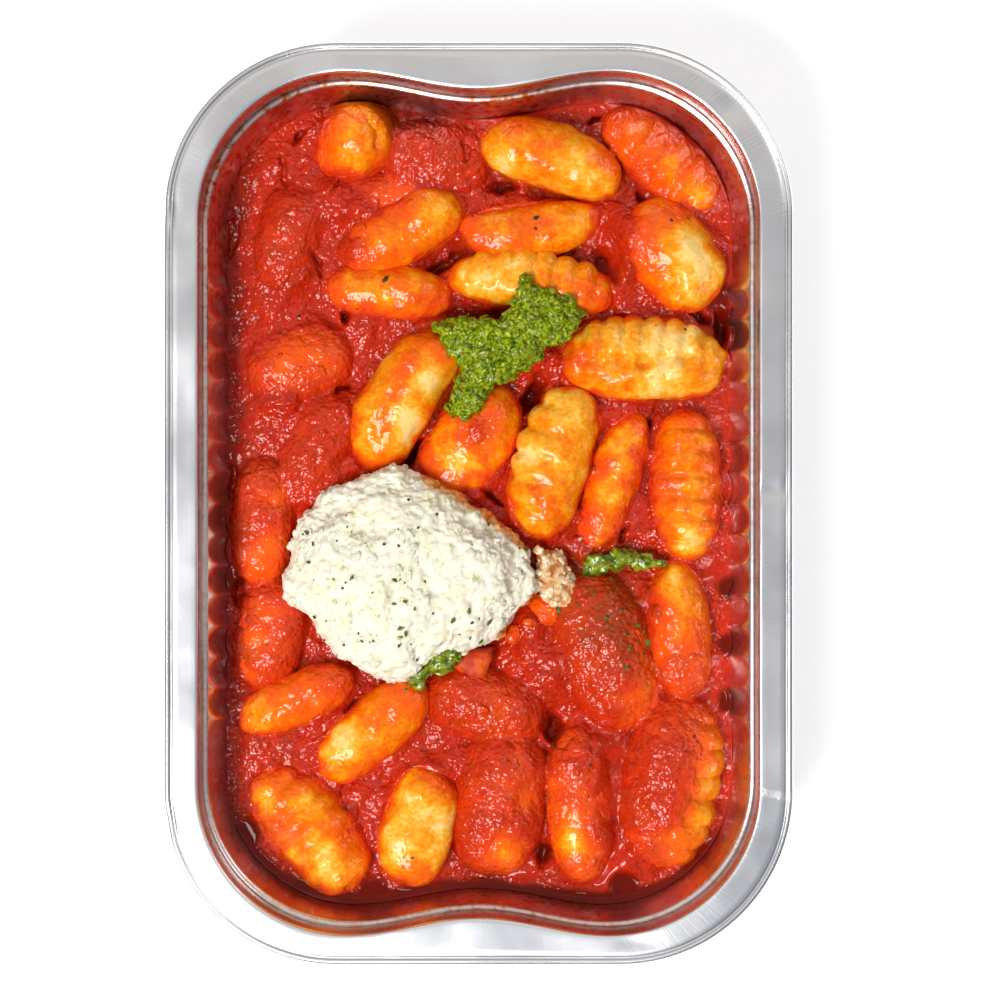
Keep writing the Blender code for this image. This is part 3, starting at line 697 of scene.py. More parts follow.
def blurred(grid, reach):
    """A grid of heights averaged over squares reach cells to each side, twice."""
    for _ in range(2):
        for axis in (0, 1):
            padded = np.concatenate((np.repeat(grid.take([0], axis), reach + 1, axis), grid,
                                     np.repeat(grid.take([-1], axis), reach, axis)), axis)
            running = np.cumsum(padded, axis)
            length = grid.shape[axis]
            high = running.take(range(2 * reach + 1, 2 * reach + 1 + length), axis)
            grid = (high - running.take(range(length), axis)) / (2 * reach + 1)
    return grid


def sauce_level(x, y, shape):
    """The height of the open sauce, before it climbs the rolls."""
    wall = wall_distance(x, y, EDGE_LEVEL, shape)
    crown = CROWN * (1 - np.maximum((x / 57) ** 2, (y / 88) ** 2))
    rough = 0.7 * cloud(x, y, 9, 3, 3) + 0.35 * cloud(x, y, 3.2, 7, 2)
    level = EDGE_LEVEL + (crown + bumps(HEAPS, x, y) + rough) * smoothstep(0.0, 5.0, -wall)
    juice = juice_share(x, y, wall)
    brink = 0.5 * np.exp(-(np.maximum(-wall, 0) / 0.8) ** 2)
    return level * (1 - juice) + (EDGE_LEVEL + 0.2 + brink) * juice


def spot_share(x, y, spots):
    """1 inside round spots (x, y, radius) with ragged edges, 0 outside them."""
    share = np.zeros_like(x)
    ragged = 0.15 * cloud(x, y, 4, 21, 2)
    for cx, cy, radius in spots:
        far = np.hypot(x - cx, y - cy) / radius
        share = np.maximum(share, 1 - smoothstep(0.6, 1.15, far + ragged))
    return share


def juice_share(x, y, wall):
    """1 where clear juice stands, in spots and all along the lower end's wall, whose dark colour
    there is partly painted shade from the wall; 0 in the pulp.
    """
    ragged = 0.9 * cloud(x, y, 9, 23, 3)
    brim = (1 - smoothstep(1.2, 2.6, -wall + ragged)) * (1 - smoothstep(-74, -62, y))
    return np.maximum(spot_share(x, y, JUICE), brim)


def sauce_fields(x, y, found, shape):
    """The sauce's height at each place of a grid, with what its material needs to know."""
    level = sauce_level(x, y, shape)
    open_level = level.copy()
    wall = wall_distance(x, y, EDGE_LEVEL, shape)
    juice = juice_share(x, y, wall)
    climb = np.zeros_like(x)
    for seat in found.values():
        along, across = roll_shares(seat, x, y)
        beyond = np.sqrt(np.abs(along) ** BLUNTNESS + across ** 2) - 1
        drawn = np.exp(-beyond * seat.half_width / CLIMB_REACH)
        climb = np.maximum(climb, np.minimum(drawn, CLIMB_LIMIT))
    climb = climb * CLIMB_HEIGHT * smoothstep(-0.35, 0.6, cloud(x, y, 8, 61, 2))
    level = level + climb * (1 - 0.6 * juice)
    skin = level.copy()
    amounts = np.full_like(x, OPEN_SAUCE)
    for node, seat in found.items():
        along, across = roll_shares(seat, x, y)
        near = (np.abs(along) < 1.6) & (np.abs(across) < 1.9)
        u, v, px, py = along[near], across[near], x[near], y[near]
        tilt = -math.sin(seat.matrix.to_euler().y) * u * seat.half_length
        round_it = np.abs(u) ** BLUNTNESS + v ** 2
        bare = seat.z + tilt + seat.half_height * np.sqrt(np.clip(1 - round_it, 0, 1))
        amount = cover(node, seat, px, py, bare - open_level[near])
        coat = cover(node, seat, px, py)
        thickness = np.clip((coat - 1) * np.where(coat < 1, 5.0, COAT_THICKNESS),
                            -3.5, COAT_LIMIT)
        grow = np.maximum(thickness, -1.0)
        reach = ((np.abs(u) * seat.half_length / (seat.half_length + grow)) ** BLUNTNESS
                 + (v * seat.half_width / (seat.half_width + grow)) ** 2)
        dome = seat.z + (seat.half_height + thickness) * np.sqrt(np.clip(1 - reach, 0, 1))
        dome = np.where(reach < 1, dome, seat.z - 6 * (reach - 1)) + tilt
        buried = level[near] - bare + 6 * np.maximum(round_it - 1, 0)
        shown = amounts[near]
        for over, least in ((1 - smoothstep(-0.3, 1.2, buried), 1.15),
                            (smoothstep(-0.6, 1.4, dome - level[near]), 0.0)):
            shown = shown * (1 - over) + np.clip(amount, least, 1.4) * over
        amounts[near] = shown
        skin[near] = np.maximum(skin[near], bare)
        level[near] = smooth_max(level[near], dome, 1.6)
    # 'deep' is painted shade: it darkens the sauce's colour in the pits, where it lies sunk and by
    # the left wall
    deep = np.zeros_like(x)
    warp_x = x + 0.9 * cloud(x, y, 3.0, 31, 2)
    warp_y = y + 0.9 * cloud(x, y, 3.0, 37, 2)
    for cx, cy, along, wide, turn, depth in PITS:
        way_x, way_y = math.cos(math.radians(turn)), math.sin(math.radians(turn))
        far = np.hypot(((warp_x - cx) * way_x + (warp_y - cy) * way_y) / along,
                       ((warp_y - cy) * way_x - (warp_x - cx) * way_y) / wide)
        hole = 1 - smoothstep(0.3, 1.5, far)
        level = level - depth * hole
        # painted shade in the pits, over the real dip
        deep = np.maximum(deep, hole * min(depth / 4.0, 1.0))
    level = np.maximum(level, LOWEST_SAUCE)
    # a dip beside the wall stays above the place where the wall draws in under it
    level = np.maximum(level, EDGE_LEVEL - np.maximum(-wall, 0) / WALL_SLOPE)
    # painted shade where the sauce lies sunk below the rolls and heaps round it
    sunk = blurred(np.maximum(skin, level), round(4 / SAUCE_GRID)) - level
    deep = np.maximum(deep, 0.85 * smoothstep(1.2, 4.6, sunk) * (1 - 0.4 * juice))
    # painted shadow of the left wall on the sauce beside it
    edge = -wall + 1.6 * cloud(x, y, 7, 33, 3)
    deep = np.maximum(deep, 0.8 * (1 - smoothstep(1.0, 6.0, edge)) * (1 - smoothstep(-52, -44, x)))
    juice = juice * (1 - smoothstep(0.6, 1.8, level - EDGE_LEVEL))
    tint = np.clip(bumps(HERB_TINT, x, y) + 0.25 * cloud(x, y, 3, 41, 3), 0, 1)
    relief = (1 - juice) * (0.6 + 0.4 * smoothstep(-0.4, 0.5, cloud(x, y, 8, 51, 2)))
    relief = relief * smoothstep(0.0, 1.5, -wall) * (1 - 0.93 * spot_share(x, y, CALM))
    relief = relief * (0.35 + 0.65 * smoothstep(0.95, 1.35, amounts))
    return level, {"cover": amounts, "deep": deep, "juice": juice, "herb": tint,
                   "relief": relief}


def grain_tree():
    """Gives a soft food its grain: coarse and fine noise and round curds along the normal."""
    tree, given = new_tree("Food grain", Coarse_Size=0.004, Coarse_Depth=0.0005,
                           Fine_Size=0.001, Fine_Depth=0.0002, Curd_Size=0.002,
                           Curd_Depth=0.0, Seed=0.0, Material=None)

    maths = partial(node_maths, tree)
    place = add(tree, "GeometryNodeInputPosition")
    total = noise_layers(tree, given, place, 0.55, ("Coarse", 1.0), ("Fine", 1.0))
    cells = add(tree, "ShaderNodeTexVoronoi",
                {"Vector": place, "W": given["Seed"], "Randomness": 1.0, "Smoothness": 0.35,
                 "Scale": maths("DIVIDE", 1.0, given["Curd Size"])},
                voronoi_dimensions="4D", feature="SMOOTH_F1")
    total = maths("ADD", total, maths("MULTIPLY", maths("SUBTRACT", 0.45, cells),
                                      given["Curd Depth"]))
    relief = add(tree, "GeometryNodeInputNamedAttribute", {"Name": "relief"}, data_type="FLOAT")
    grain = pushed(tree, given["Geometry"], maths("MULTIPLY", total, relief))
    end_tree(tree, grain, given["Material"])
    return tree


def grained(item, depth, layers, seed, material):
    """Gives a piece its grain: coarse, fine and curds, each a size in millimetres and a share
    of the depth. What the mesh notes as 'relief' scales it, and is 1 where nothing is noted."""
    if "relief" not in item.data.attributes:
        note(item.data, "relief", np.ones(len(item.data.vertices)))
    values = {"Seed": seed, "Material": material}
    for title, (size, share) in zip(("Coarse", "Fine", "Curd"), layers):
        values[title + "_Size"] = size * MM
        values[title + "_Depth"] = share * depth
    through(item, bpy.data.node_groups["Food grain"], **values)


def sauce_mesh(found, shape):
    """The sauce's upper face: a sheet on a fine grid, trimmed to the fluted wall."""
    xs = np.arange(8 - shape.half_width, shape.half_width - 8, SAUCE_GRID)
    ys = np.arange(8 - shape.half_length, shape.half_length - 8, SAUCE_GRID)
    x, y = np.meshgrid(xs, ys)
    height, fields = sauce_fields(x, y, found, shape)
    columns = len(xs)

    x, y = x.ravel(), y.ravel()
    inside = wall_distance(x, y, EDGE_LEVEL, shape) + EDGE_GAP < -0.35 * SAUCE_GRID
    corner = (np.arange(len(ys) - 1)[:, None] * columns + np.arange(columns - 1)).ravel()
    cells = np.stack((corner, corner + 1, corner + columns + 1, corner + columns), axis=1)
    cells = cells[inside[cells].any(axis=1)]
    used = np.unique(cells)
    number = np.full(len(x), -1)
    number[used] = np.arange(len(used))
    x, y, inside = x[used], y[used], inside[used]
    wall_x, wall_y = slid_to_wall(x, y, EDGE_LEVEL, EDGE_GAP, shape)
    x = np.where(inside, x, wall_x)
    y = np.where(inside, y, wall_y)
    mesh = mesh_from("pulpy_tomato_sauce", np.column_stack((x, y, height.ravel()[used])),
                     number[cells])
    for name, values in fields.items():
        note(mesh, name, values.ravel()[used])
    return mesh


def close_below(mesh, shape):
    """Drops sides from a sheet's rim down to the tray's floor and closes them underneath."""
    bm = bmesh.new()
    bm.from_mesh(mesh)
    relief = bm.verts.layers.float["relief"]
    rim = [edge for edge in bm.edges if edge.is_boundary]
    for z, gap in SAUCE_SIDES:
        result = bmesh.ops.extrude_edge_only(bm, edges=rim)["geom"]
        verts = [part for part in result if isinstance(part, bmesh.types.BMVert)]
        x, y = slid_to_wall(*(np.array([vert.co[:2] for vert in verts]) / MM).T, z, gap, shape)
        for vert, px, py in zip(verts, x, y):
            vert.co = (px * MM, py * MM, z * MM)
            vert[relief] = 0.0
        rim = [part for part in result
               if isinstance(part, bmesh.types.BMEdge) and part.is_boundary]
    bmesh.ops.edgeloop_fill(bm, edges=rim)
    bmesh.ops.recalc_face_normals(bm, faces=bm.faces)
    bm.to_mesh(mesh)
    bm.free()


# ---------------------------------------------------------------- toppings

def soft_copy(node, name, voxel, rounds, ragged):
    """A topping's own solid, remeshed evenly, rounded off and given a ragged outline."""
    bm = bmesh.new()
    bm.from_mesh(frame["nodes"][node].data)
    bmesh.ops.remove_doubles(bm, verts=bm.verts, dist=1e-6)
    mesh = bpy.data.meshes.new(name)
    bm.to_mesh(mesh)
    bm.free()
    item = new_object(name, mesh)
    remesh = item.modifiers.new("even_skin", "REMESH")
    remesh.mode = "VOXEL"
    remesh.voxel_size = voxel * MM
    smooth = item.modifiers.new("rounded", "SMOOTH")
    smooth.factor = 0.5
    smooth.iterations = rounds
    mesh = baked(item)
    x, y, z = places(mesh).T
    grow_x = ragged * cloud(x, y, 3.4, 15, 3)
    grow_y = ragged * cloud(x, y, 3.4, 16, 3)
    move_points(mesh, np.column_stack((x + grow_x, y + grow_y, z)))
    return item


FULL_TURN = 6.283                 # radians


def scatter_tree():
    """Strews small flat flecks over a surface where its attribute 'strewn' allows."""
    tree, given = new_tree("Strewn flecks", Amount=100000.0, Length=0.001, Breadth=0.5,
                           Thickness=0.2, Lift=0.0, Seed=0, Material=None)

    maths = partial(node_maths, tree)
    length = given["Length"]
    strewn = add(tree, "GeometryNodeInputNamedAttribute", {"Name": "strewn"}, data_type="FLOAT")
    scattered = add(tree, "GeometryNodeDistributePointsOnFaces",
                    {"Mesh": given["Geometry"],
                     "Density": maths("MULTIPLY", given["Amount"], strewn),
                     "Seed": given["Seed"]})
    normal = scattered.node.outputs["Normal"]
    ball = add(tree, "GeometryNodeMeshIcoSphere", {"Radius": 0.5, "Subdivisions": 2})
    shape = add(tree, "ShaderNodeCombineXYZ", [length, maths("MULTIPLY", length, given["Breadth"]),
                                               maths("MULTIPLY", length, given["Thickness"])])
    fleck = add(tree, "GeometryNodeTransform", {"Geometry": ball, "Scale": shape})
    lump = add(tree, "ShaderNodeTexNoise", {"Scale": maths("DIVIDE", 2.2, length), "Detail": 1.0})
    ragged = pushed(tree, fleck, maths("MULTIPLY", length, maths("SUBTRACT", lump, 0.5)))
    upright = add(tree, "FunctionNodeAlignEulerToVector", {"Vector": normal}, axis="Z")
    spin = add(tree, "FunctionNodeRandomValue",
               {2: 0.0, 3: FULL_TURN, "Seed": given["Seed"]}, out=1, data_type="FLOAT")
    turned = add(tree, "FunctionNodeRotateEuler",
                 {"Rotation": upright, "Axis": (0.0, 0.0, 1.0), "Angle": spin},
                 rotation_type="AXIS_ANGLE", space="LOCAL")
    size = add(tree, "FunctionNodeRandomValue", {2: 0.45, 3: 1.3, "ID": None, "Seed": 7}, out=1,
               data_type="FLOAT")
    set_in = add(tree, "GeometryNodeInstanceOnPoints",
                 {"Points": scattered, "Instance": ragged, "Rotation": turned, "Scale": size})
    lifted = add(tree, "GeometryNodeTranslateInstances",
                 {"Instances": set_in,
                  "Translation": add(tree, "ShaderNodeCombineXYZ", [0.0, 0.0, given["Lift"]])})
    end_tree(tree, lifted, given["Material"])
    return tree


def tops(pieces, spots):
    """The highest point of some pieces over each (x, y), in millimetres, and its slope."""
    found = []
    trees = [BVHTree.FromPolygons([v.co for v in piece.data.vertices],
                                  [f.vertices for f in piece.data.polygons])
             for piece in pieces]
    for x, y in spots:
        hits = [tree.ray_cast(Vector((x * MM, y * MM, 0.1)), Vector((0, 0, -1)))[:2]
                for tree in trees]
        hits = [hit for hit in hits if hit[0] is not None]
        if hits:
            found.append(max(hits, key=lambda hit: hit[0].z))
    return found


def placed_piece(name, pieces, spots, material, slot, flatness, seed):
    """Ragged bits laid one by one on some pieces: each spot is (x, y, length, turn).

    A bit longer than 2 mm is broad, a shorter one narrow.
    """
    rng = np.random.default_rng(seed)
    bm = bmesh.new()
    for (_, _, length, turn), (place, normal) in zip(
            spots, tops(pieces, [spot[:2] for spot in spots])):
        upright = normal.to_track_quat("Z", "Y").to_matrix().to_4x4()
        matrix = (Matrix.Translation(place + normal * 0.04 * length * MM) @ upright
                  @ Matrix.Rotation(math.radians(turn), 4, "Z")
                  @ Matrix.Diagonal((length / 2 * MM, length * (0.26 + 0.03 * length) * MM,
                                     length * flatness / 2 * MM, 1)))
        fleck = bmesh.ops.create_icosphere(bm, subdivisions=2, radius=1, matrix=matrix)
        for vert in fleck["verts"]:
            bx, by, bz = vert.co / MM
            lump = float(cloud(np.array([bx + bz]), np.array([by - bz]), 0.4 * length, seed))
            vert.co += (vert.co - place) * 0.4 * lump
            vert.co += Vector(rng.uniform(-0.04, 0.04, 3) * length * MM)
    mesh = bpy.data.meshes.new(name)
    bm.to_mesh(mesh)
    bm.free()
    return finished(new_object(name, mesh), slot, material=material)


def strewn_piece(name, under, where, material, slot, **values):
    """Flecks strewn over a copy of a piece's mesh, as one piece of their own."""
    mesh = under.data.copy()
    note(mesh, "strewn", where)
    item = new_object(name, mesh)
    through(item, bpy.data.node_groups["Strewn flecks"], Material=material, **values)
    if not len(item.data.polygons):
        raise RuntimeError(name + " has no flecks")
    return finished(item, slot)


# ---------------------------------------------------------------- materials

def rgba(colour):
    """The linear RGBA of a hex code or a colour setting; a node's output stays as it is."""
    if isinstance(colour, str):
        return linear(colour)
    return colour if isinstance(colour, bpy.types.NodeSocket) else (*colour, 1.0)


def attributes(tree, *names):
    """Numbers noted on the mesh, each as a node's output."""
    return [add(tree, "ShaderNodeAttribute", out="Fac", attribute_name=name) for name in names]


def noise(tree, place, scale, detail=2.0, **more):
    """Noise whose features are about 1 / scale metres across."""
    return add(tree, "ShaderNodeTexNoise",
               {"Vector": place, "Scale": scale, "Detail": detail, **more})


def mixed(tree, share, first, second):
    """The first colour where share is 0, and the second where it is 1."""
    return add(tree, "ShaderNodeMix", {0: share, 6: rgba(first), 7: rgba(second)}, out=2,
               data_type="RGBA")


def ramped(tree, share, stops):
    """The colour that a share picks among stops, each a position and a colour."""
    ramp = add(tree, "ShaderNodeValToRGB", [share]).node
    for _ in stops[2:]:
        ramp.color_ramp.elements.new(0.5)
    for element, (position, colour) in zip(ramp.color_ramp.elements, stops):
        element.position = position
        element.color = rgba(colour)
    return ramp.outputs["Color"]


def bumped(tree, height, distance, strength):
    """A bump as high as its height times a distance in metres."""
    return add(tree, "ShaderNodeBump",
               {"Strength": strength, "Distance": distance, "Height": height})


def foil_material(colours):
    """Rolled aluminium foil, deep drawn: bright, with fine draw lines across the rim and
    hairline rolling grain along the sides; sauce oil has spattered the inner wall, and a faint
    orange over all of it is painted reflection of the sauce."""
    material, tree, shader, place = new_material("Deep drawn rolled aluminium foil", Metallic=1.0)
    maths = partial(node_maths, tree)
    around, across, corner, smear, matte = attributes(
        tree, "around", "across", "corner", "smear", "matte")
    # draw lines 0.5 mm apart, drawn out across the rim
    line_place = add(tree, "ShaderNodeCombineXYZ", [maths("MULTIPLY", around, 1.9),
                                                    maths("MULTIPLY", across, 0.12), 0.0])
    # rolling grain: 0.1 mm hairlines along the web, drawn 0.25 mm wide so that they show
    grain_place = add(tree, "ShaderNodeMapping", {"Vector": place, "Scale": (4000.0, 90.0, 90.0)})
    height = add(tree, "ShaderNodeMix",
                 {0: corner, 2: noise(tree, grain_place, 1.0), 3: noise(tree, line_place, 1.0)},
                 data_type="FLOAT")
    strength = remapped(tree, corner, 0.0, 1.0, 0.06, 0.6)
    spots = remapped(tree, noise(tree, place, 650.0, 3.0), 0.5, 0.62, 0.45, 1.0)
    # orange sauce oil spots, which at their faintest tint all the inner wall as a painted
    # reflection of the sauce
    colour = mixed(tree, maths("MULTIPLY", spots, smear), colours.foil, "#C8641E")
    wire(shader, Base_Color=mixed(tree, matte, colour, "#B2B4B8"),
         Roughness=remapped(tree, noise(tree, place, 45.0, 3.0), 0.3, 0.7, 0.22, 0.36),
         Normal=bumped(tree, height, 0.00005, strength))
    return material


def stain_colour(tree, amount, colours):
    """The colour of dough under sauce, from bare through oil and film to a full coat."""
    stops = ((0.0, colours.dough), (0.2, "#F6B030"), (0.4, "#F28E08"),
             (0.6, colours.stained_dough), (0.85, "#EA560A"), (1.1, "#E54A10"),
             (1.3, "#DE3D12"), (1.55, colours.sauce))
    return ramped(tree, node_maths(tree, "MULTIPLY", amount, 1 / OPEN_SAUCE),
                  [(position / OPEN_SAUCE, colour) for position, colour in stops])


def wet_bump(tree, place, pulp, layers, strength):
    """A wet surface's bump, and the folds that part its lumps of pulp: 0 in a crease.

    pulp and each layer are a size and a depth in millimetres.
    """
    def lumps(size):
        return noise(tree, place, 1 / (size * MM), 1.0, Roughness=0.45)

    maths = partial(node_maths, tree)
    size, depth = pulp
    folds = maths("ABSOLUTE", maths("SUBTRACT", lumps(size), 0.5))
    total = maths("MULTIPLY", folds, depth)
    for size, depth in layers:
        total = maths("MULTIPLY_ADD", lumps(size), depth, total)
    return bumped(tree, total, MM, strength), folds


def stained(tree, place, amount, blotch):
    """A cover of sauce made blotchy, with its pulp alone and pulp and patches together.

    The patches are about 3 mm across and the pulp about 1 mm.
    """
    patch = noise(tree, place, 330.0, 4.0, Roughness=0.65)
    pulp = noise(tree, place, 1100.0, 2.0, Roughness=0.6)
    both = node_maths(tree, "ADD", pulp, patch)
    shift = remapped(tree, both, 0.7, 1.3, -blotch, blotch)
    return node_maths(tree, "ADD", amount, shift), pulp, both


def sauce_material(colours):
    """Coarsely strained tomato sauce, simmered: wet red pulp with oil, orange where it lies
    thin over the dough, darkened with painted shade in its creases and gaps and along the
    left wall, and clear where juice stands; at the lower end the juice's dark colour is
    partly painted shade from the wall."""
    material, tree, shader, place = new_material(
        "Simmered coarse tomato sauce", Coat_IOR=1.40, Coat_Roughness=0.04,
        Specular_IOR_Level=0.0)
    maths = partial(node_maths, tree)
    cover_share, deep, juice, herb, relief = attributes(
        tree, "cover", "deep", "juice", "herb", "relief")
    wet = remapped(tree, relief, 0.0, 0.3, 0.04, 1.0)
    bump, folds = wet_bump(tree, place, (1.9, 0.7), ((1.0, 0.42), (3.0, 0.5)), wet)
    stain, pulp, blotches = stained(tree, place, cover_share, 0.28)
    # painted shade: the colour darkens toward the dark sauce in the creases between the pulp's
    # lumps; the blotches add a darker tone at random
    dark = maths("ADD", remapped(tree, blotches, 0.82, 1.12, 0.6, 0.0),
                 remapped(tree, folds, 0.0, 0.08, 0.22, 0.0))
    thick = remapped(tree, cover_share, 0.9, 1.45, 0.0, 1.0)
    specks = remapped(tree, pulp, 0.42, 0.56, 0.15, 1.0)
    # gloom and 'deep' paint shade: #5C0803 darkens the pits, sunk places and the left wall's edge
    gloom = remapped(tree, pulp, 0.3, 0.7, 1.15, 0.75)
    colour = stain_colour(tree, stain, colours)
    for share, over in ((maths("MULTIPLY", dark, thick, clamp=True), colours.sauce_dark),
                        (maths("MULTIPLY", herb, specks, clamp=True), "#7A3A08"),
                        # dark clear juice; along the lower end's wall its darkness is partly
                        # painted shade from the wall
                        (maths("MULTIPLY", juice, 0.85), "#500B02"),
                        (maths("MULTIPLY", deep, gloom, clamp=True), "#5C0803")):
        colour = mixed(tree, share, colour, over)
    hidden = maths("MAXIMUM", juice, deep)
    wire(shader, Base_Color=colour, Roughness=remapped(tree, juice, 0.0, 1.0, 0.4, 0.12),
         Coat_Weight=remapped(tree, hidden, 0.0, 1.0, 1.0, 0.5), Normal=bump, Coat_Normal=bump)
    return material


def dough_material(colours):
    """Boiled potato dough under a film of tomato oil: cream where bare, through orange to
    red as the film thickens, moist and slightly grainy."""
    material, tree, shader, place = new_material(
        "Boiled potato dough filmed with tomato oil", Subsurface_Weight=0.2,
        Subsurface_Scale=0.001, Subsurface_Radius=(1.8, 0.9, 0.2), Coat_Weight=1.0,
        Coat_IOR=1.38, Coat_Roughness=0.04, Specular_IOR_Level=0.0)
    film, = attributes(tree, "cover")
    stain, speck, _ = stained(tree, place, film, 0.18)
    pulpy = remapped(tree, film, 0.4, 1.0, 0.3, 0.9)
    bump, _ = wet_bump(tree, place, (1.9, 0.7), ((0.9, 0.25), (2.8, 1.0)), pulpy)
    wire(shader, Base_Color=stain_colour(tree, stain, colours),
         Roughness=remapped(tree, speck, 0.3, 0.7, 0.36, 0.5), Normal=bump, Coat_Normal=bump)
    return material


def ricotta_material(colours):
    """Fresh ricotta curd beaten with herbs: matt white with cream hollows, tinted green by
    the herbs and stained orange where it meets the sauce."""
    material, tree, shader, place = new_material(
        "Beaten fresh ricotta curd", Subsurface_Weight=0.2, Subsurface_Scale=0.001,
        Subsurface_Radius=(2.0, 1.8, 1.3), Roughness=0.6, IOR=1.4)
    soaked, = attributes(tree, "stained")
    patch = noise(tree, place, 260.0, 4.0, Roughness=0.65)
    green = noise(tree, place, 620.0, 3.0)
    orange = mixed(tree, remapped(tree, green, 0.4, 0.6, 0.0, 1.0), "#C86A14", "#E2B070")
    colour = colours.ricotta
    for share, over in ((remapped(tree, patch, 0.50, 0.72, 0.0, 0.8), "#E6DFB4"),
                        (remapped(tree, green, 0.58, 0.70, 0.0, 0.7), "#AEB36C"),
                        (soaked, orange)):
        colour = mixed(tree, share, colour, over)
    wire(shader, Base_Color=colour,
         Normal=bumped(tree, noise(tree, place, 1700.0, 3.0), 0.0003, 0.4))
    return material


def pesto_material(colours):
    """Basil pesto, chopped by hand: green oil round dark leaf and pale cheese grains."""
    material, tree, shader, place = new_material(
        "Hand chopped basil pesto", Coat_Weight=0.7, Coat_Roughness=0.06, Coat_IOR=1.36,
        Specular_IOR_Level=0.0, Roughness=0.5)
    shreds = noise(tree, place, 900.0, 4.0, Roughness=0.7, Distortion=1.2)
    stops = ((0.36, "#2E4A02"), (0.45, "#5A7400"), (0.52, colours.pesto), (0.6, "#A2AE1C"),
             (0.68, "#CCD070"))
    wire(shader, Base_Color=ramped(tree, shreds, stops),
         Normal=bumped(tree, noise(tree, place, 1400.0, 3.0), 0.0004, 0.8))
    return material


def plain_food_material(name, dark, light, size, roughness, coat):
    """A food flecked between two colours, in patches of a size in millimetres."""
    material, tree, shader, place = new_material(name, Roughness=roughness, Coat_Weight=coat,
                                                 Coat_Roughness=0.1, IOR=1.42)
    patch = noise(tree, place, 1 / (size * MM), 3.0)
    share = remapped(tree, patch, 0.35, 0.65, 0.0, 1.0)
    wire(shader, Base_Color=mixed(tree, share, dark, light),
         Normal=bumped(tree, patch, 0.0002, 0.3))
    return material


# ---------------------------------------------------------------- what a user may change

def colour_property(name, description, hex_colour):
    return bpy.props.FloatVectorProperty(name=name, description=description, subtype="COLOR",
                                         size=3, min=0.0, max=1.0,
                                         default=linear(hex_colour)[:3])


def length_property(name, description, millimetres):
    return bpy.props.FloatProperty(name=name, description=description, unit="LENGTH",
                                   default=millimetres * MM, min=0.0, precision=5)


class TraySizes(bpy.types.PropertyGroup):
    """Sizes of the foil tray, the gnocchi and the sauce."""
    flute_depth: length_property("Flute depth", "How far the cusps between flutes stand in", 1.25)
    flute_pitch: length_property("Flute pitch", "Distance from one flute to the next", 6.45)
    ridge_depth: length_property("Ridge depth", "Depth of the fork ridges on the gnocchi", 1.15)
    lump_depth: length_property("Lump depth", "Height of the lumps on the gnocchi", 0.4)
    pulp_depth: length_property("Pulp depth", "Height of the pulp in the sauce", 0.34)
    curd_depth: length_property("Curd depth", "Height of the curds in the ricotta", 0.7)


class TrayColours(bpy.types.PropertyGroup):
    """Colours of the tray and the food."""
    foil: colour_property("Foil", "Bare aluminium", "#E9EAEC")
    sauce: colour_property("Sauce", "Tomato sauce in full light", "#C42A0B")
    # the dark sauce also stands for painted shade in the creases between the pulp
    sauce_dark: colour_property("Dark sauce", "Tomato sauce between its pulp", "#961404")
    dough: colour_property("Dough", "Bare boiled dough", "#F8D27E")
    stained_dough: colour_property("Stained dough", "Dough stained by tomato oil", "#EC6A04")
    ricotta: colour_property("Ricotta", "Fresh curd", "#EDE8D4")
    pesto: colour_property("Pesto", "Chopped basil in oil", "#889404")


class StageSettings(bpy.types.PropertyGroup):
    """The floor and the light."""
    floor: colour_property("Floor", "Plain pale floor", "#FBFBFB")
    key_power: bpy.props.FloatProperty(name="Key light", unit="POWER", default=18.2, min=0.0,
                                       description="Power of the large soft light")
    sky: bpy.props.FloatProperty(name="Room light", description="Brightness of the white room",
                                 default=0.40, min=0.0)


# ---------------------------------------------------------------- operators

FLOOR_REACH = 3000
# Square lamps: name, place and size in metres, and share of the key light's power
SOFTBOXES = (("key_softbox", (-0.50, -0.54, 1.12), 0.60, 1.0),
             ("fill_panel", (0.9, 0.6, 1.0), 0.5, 0.12))


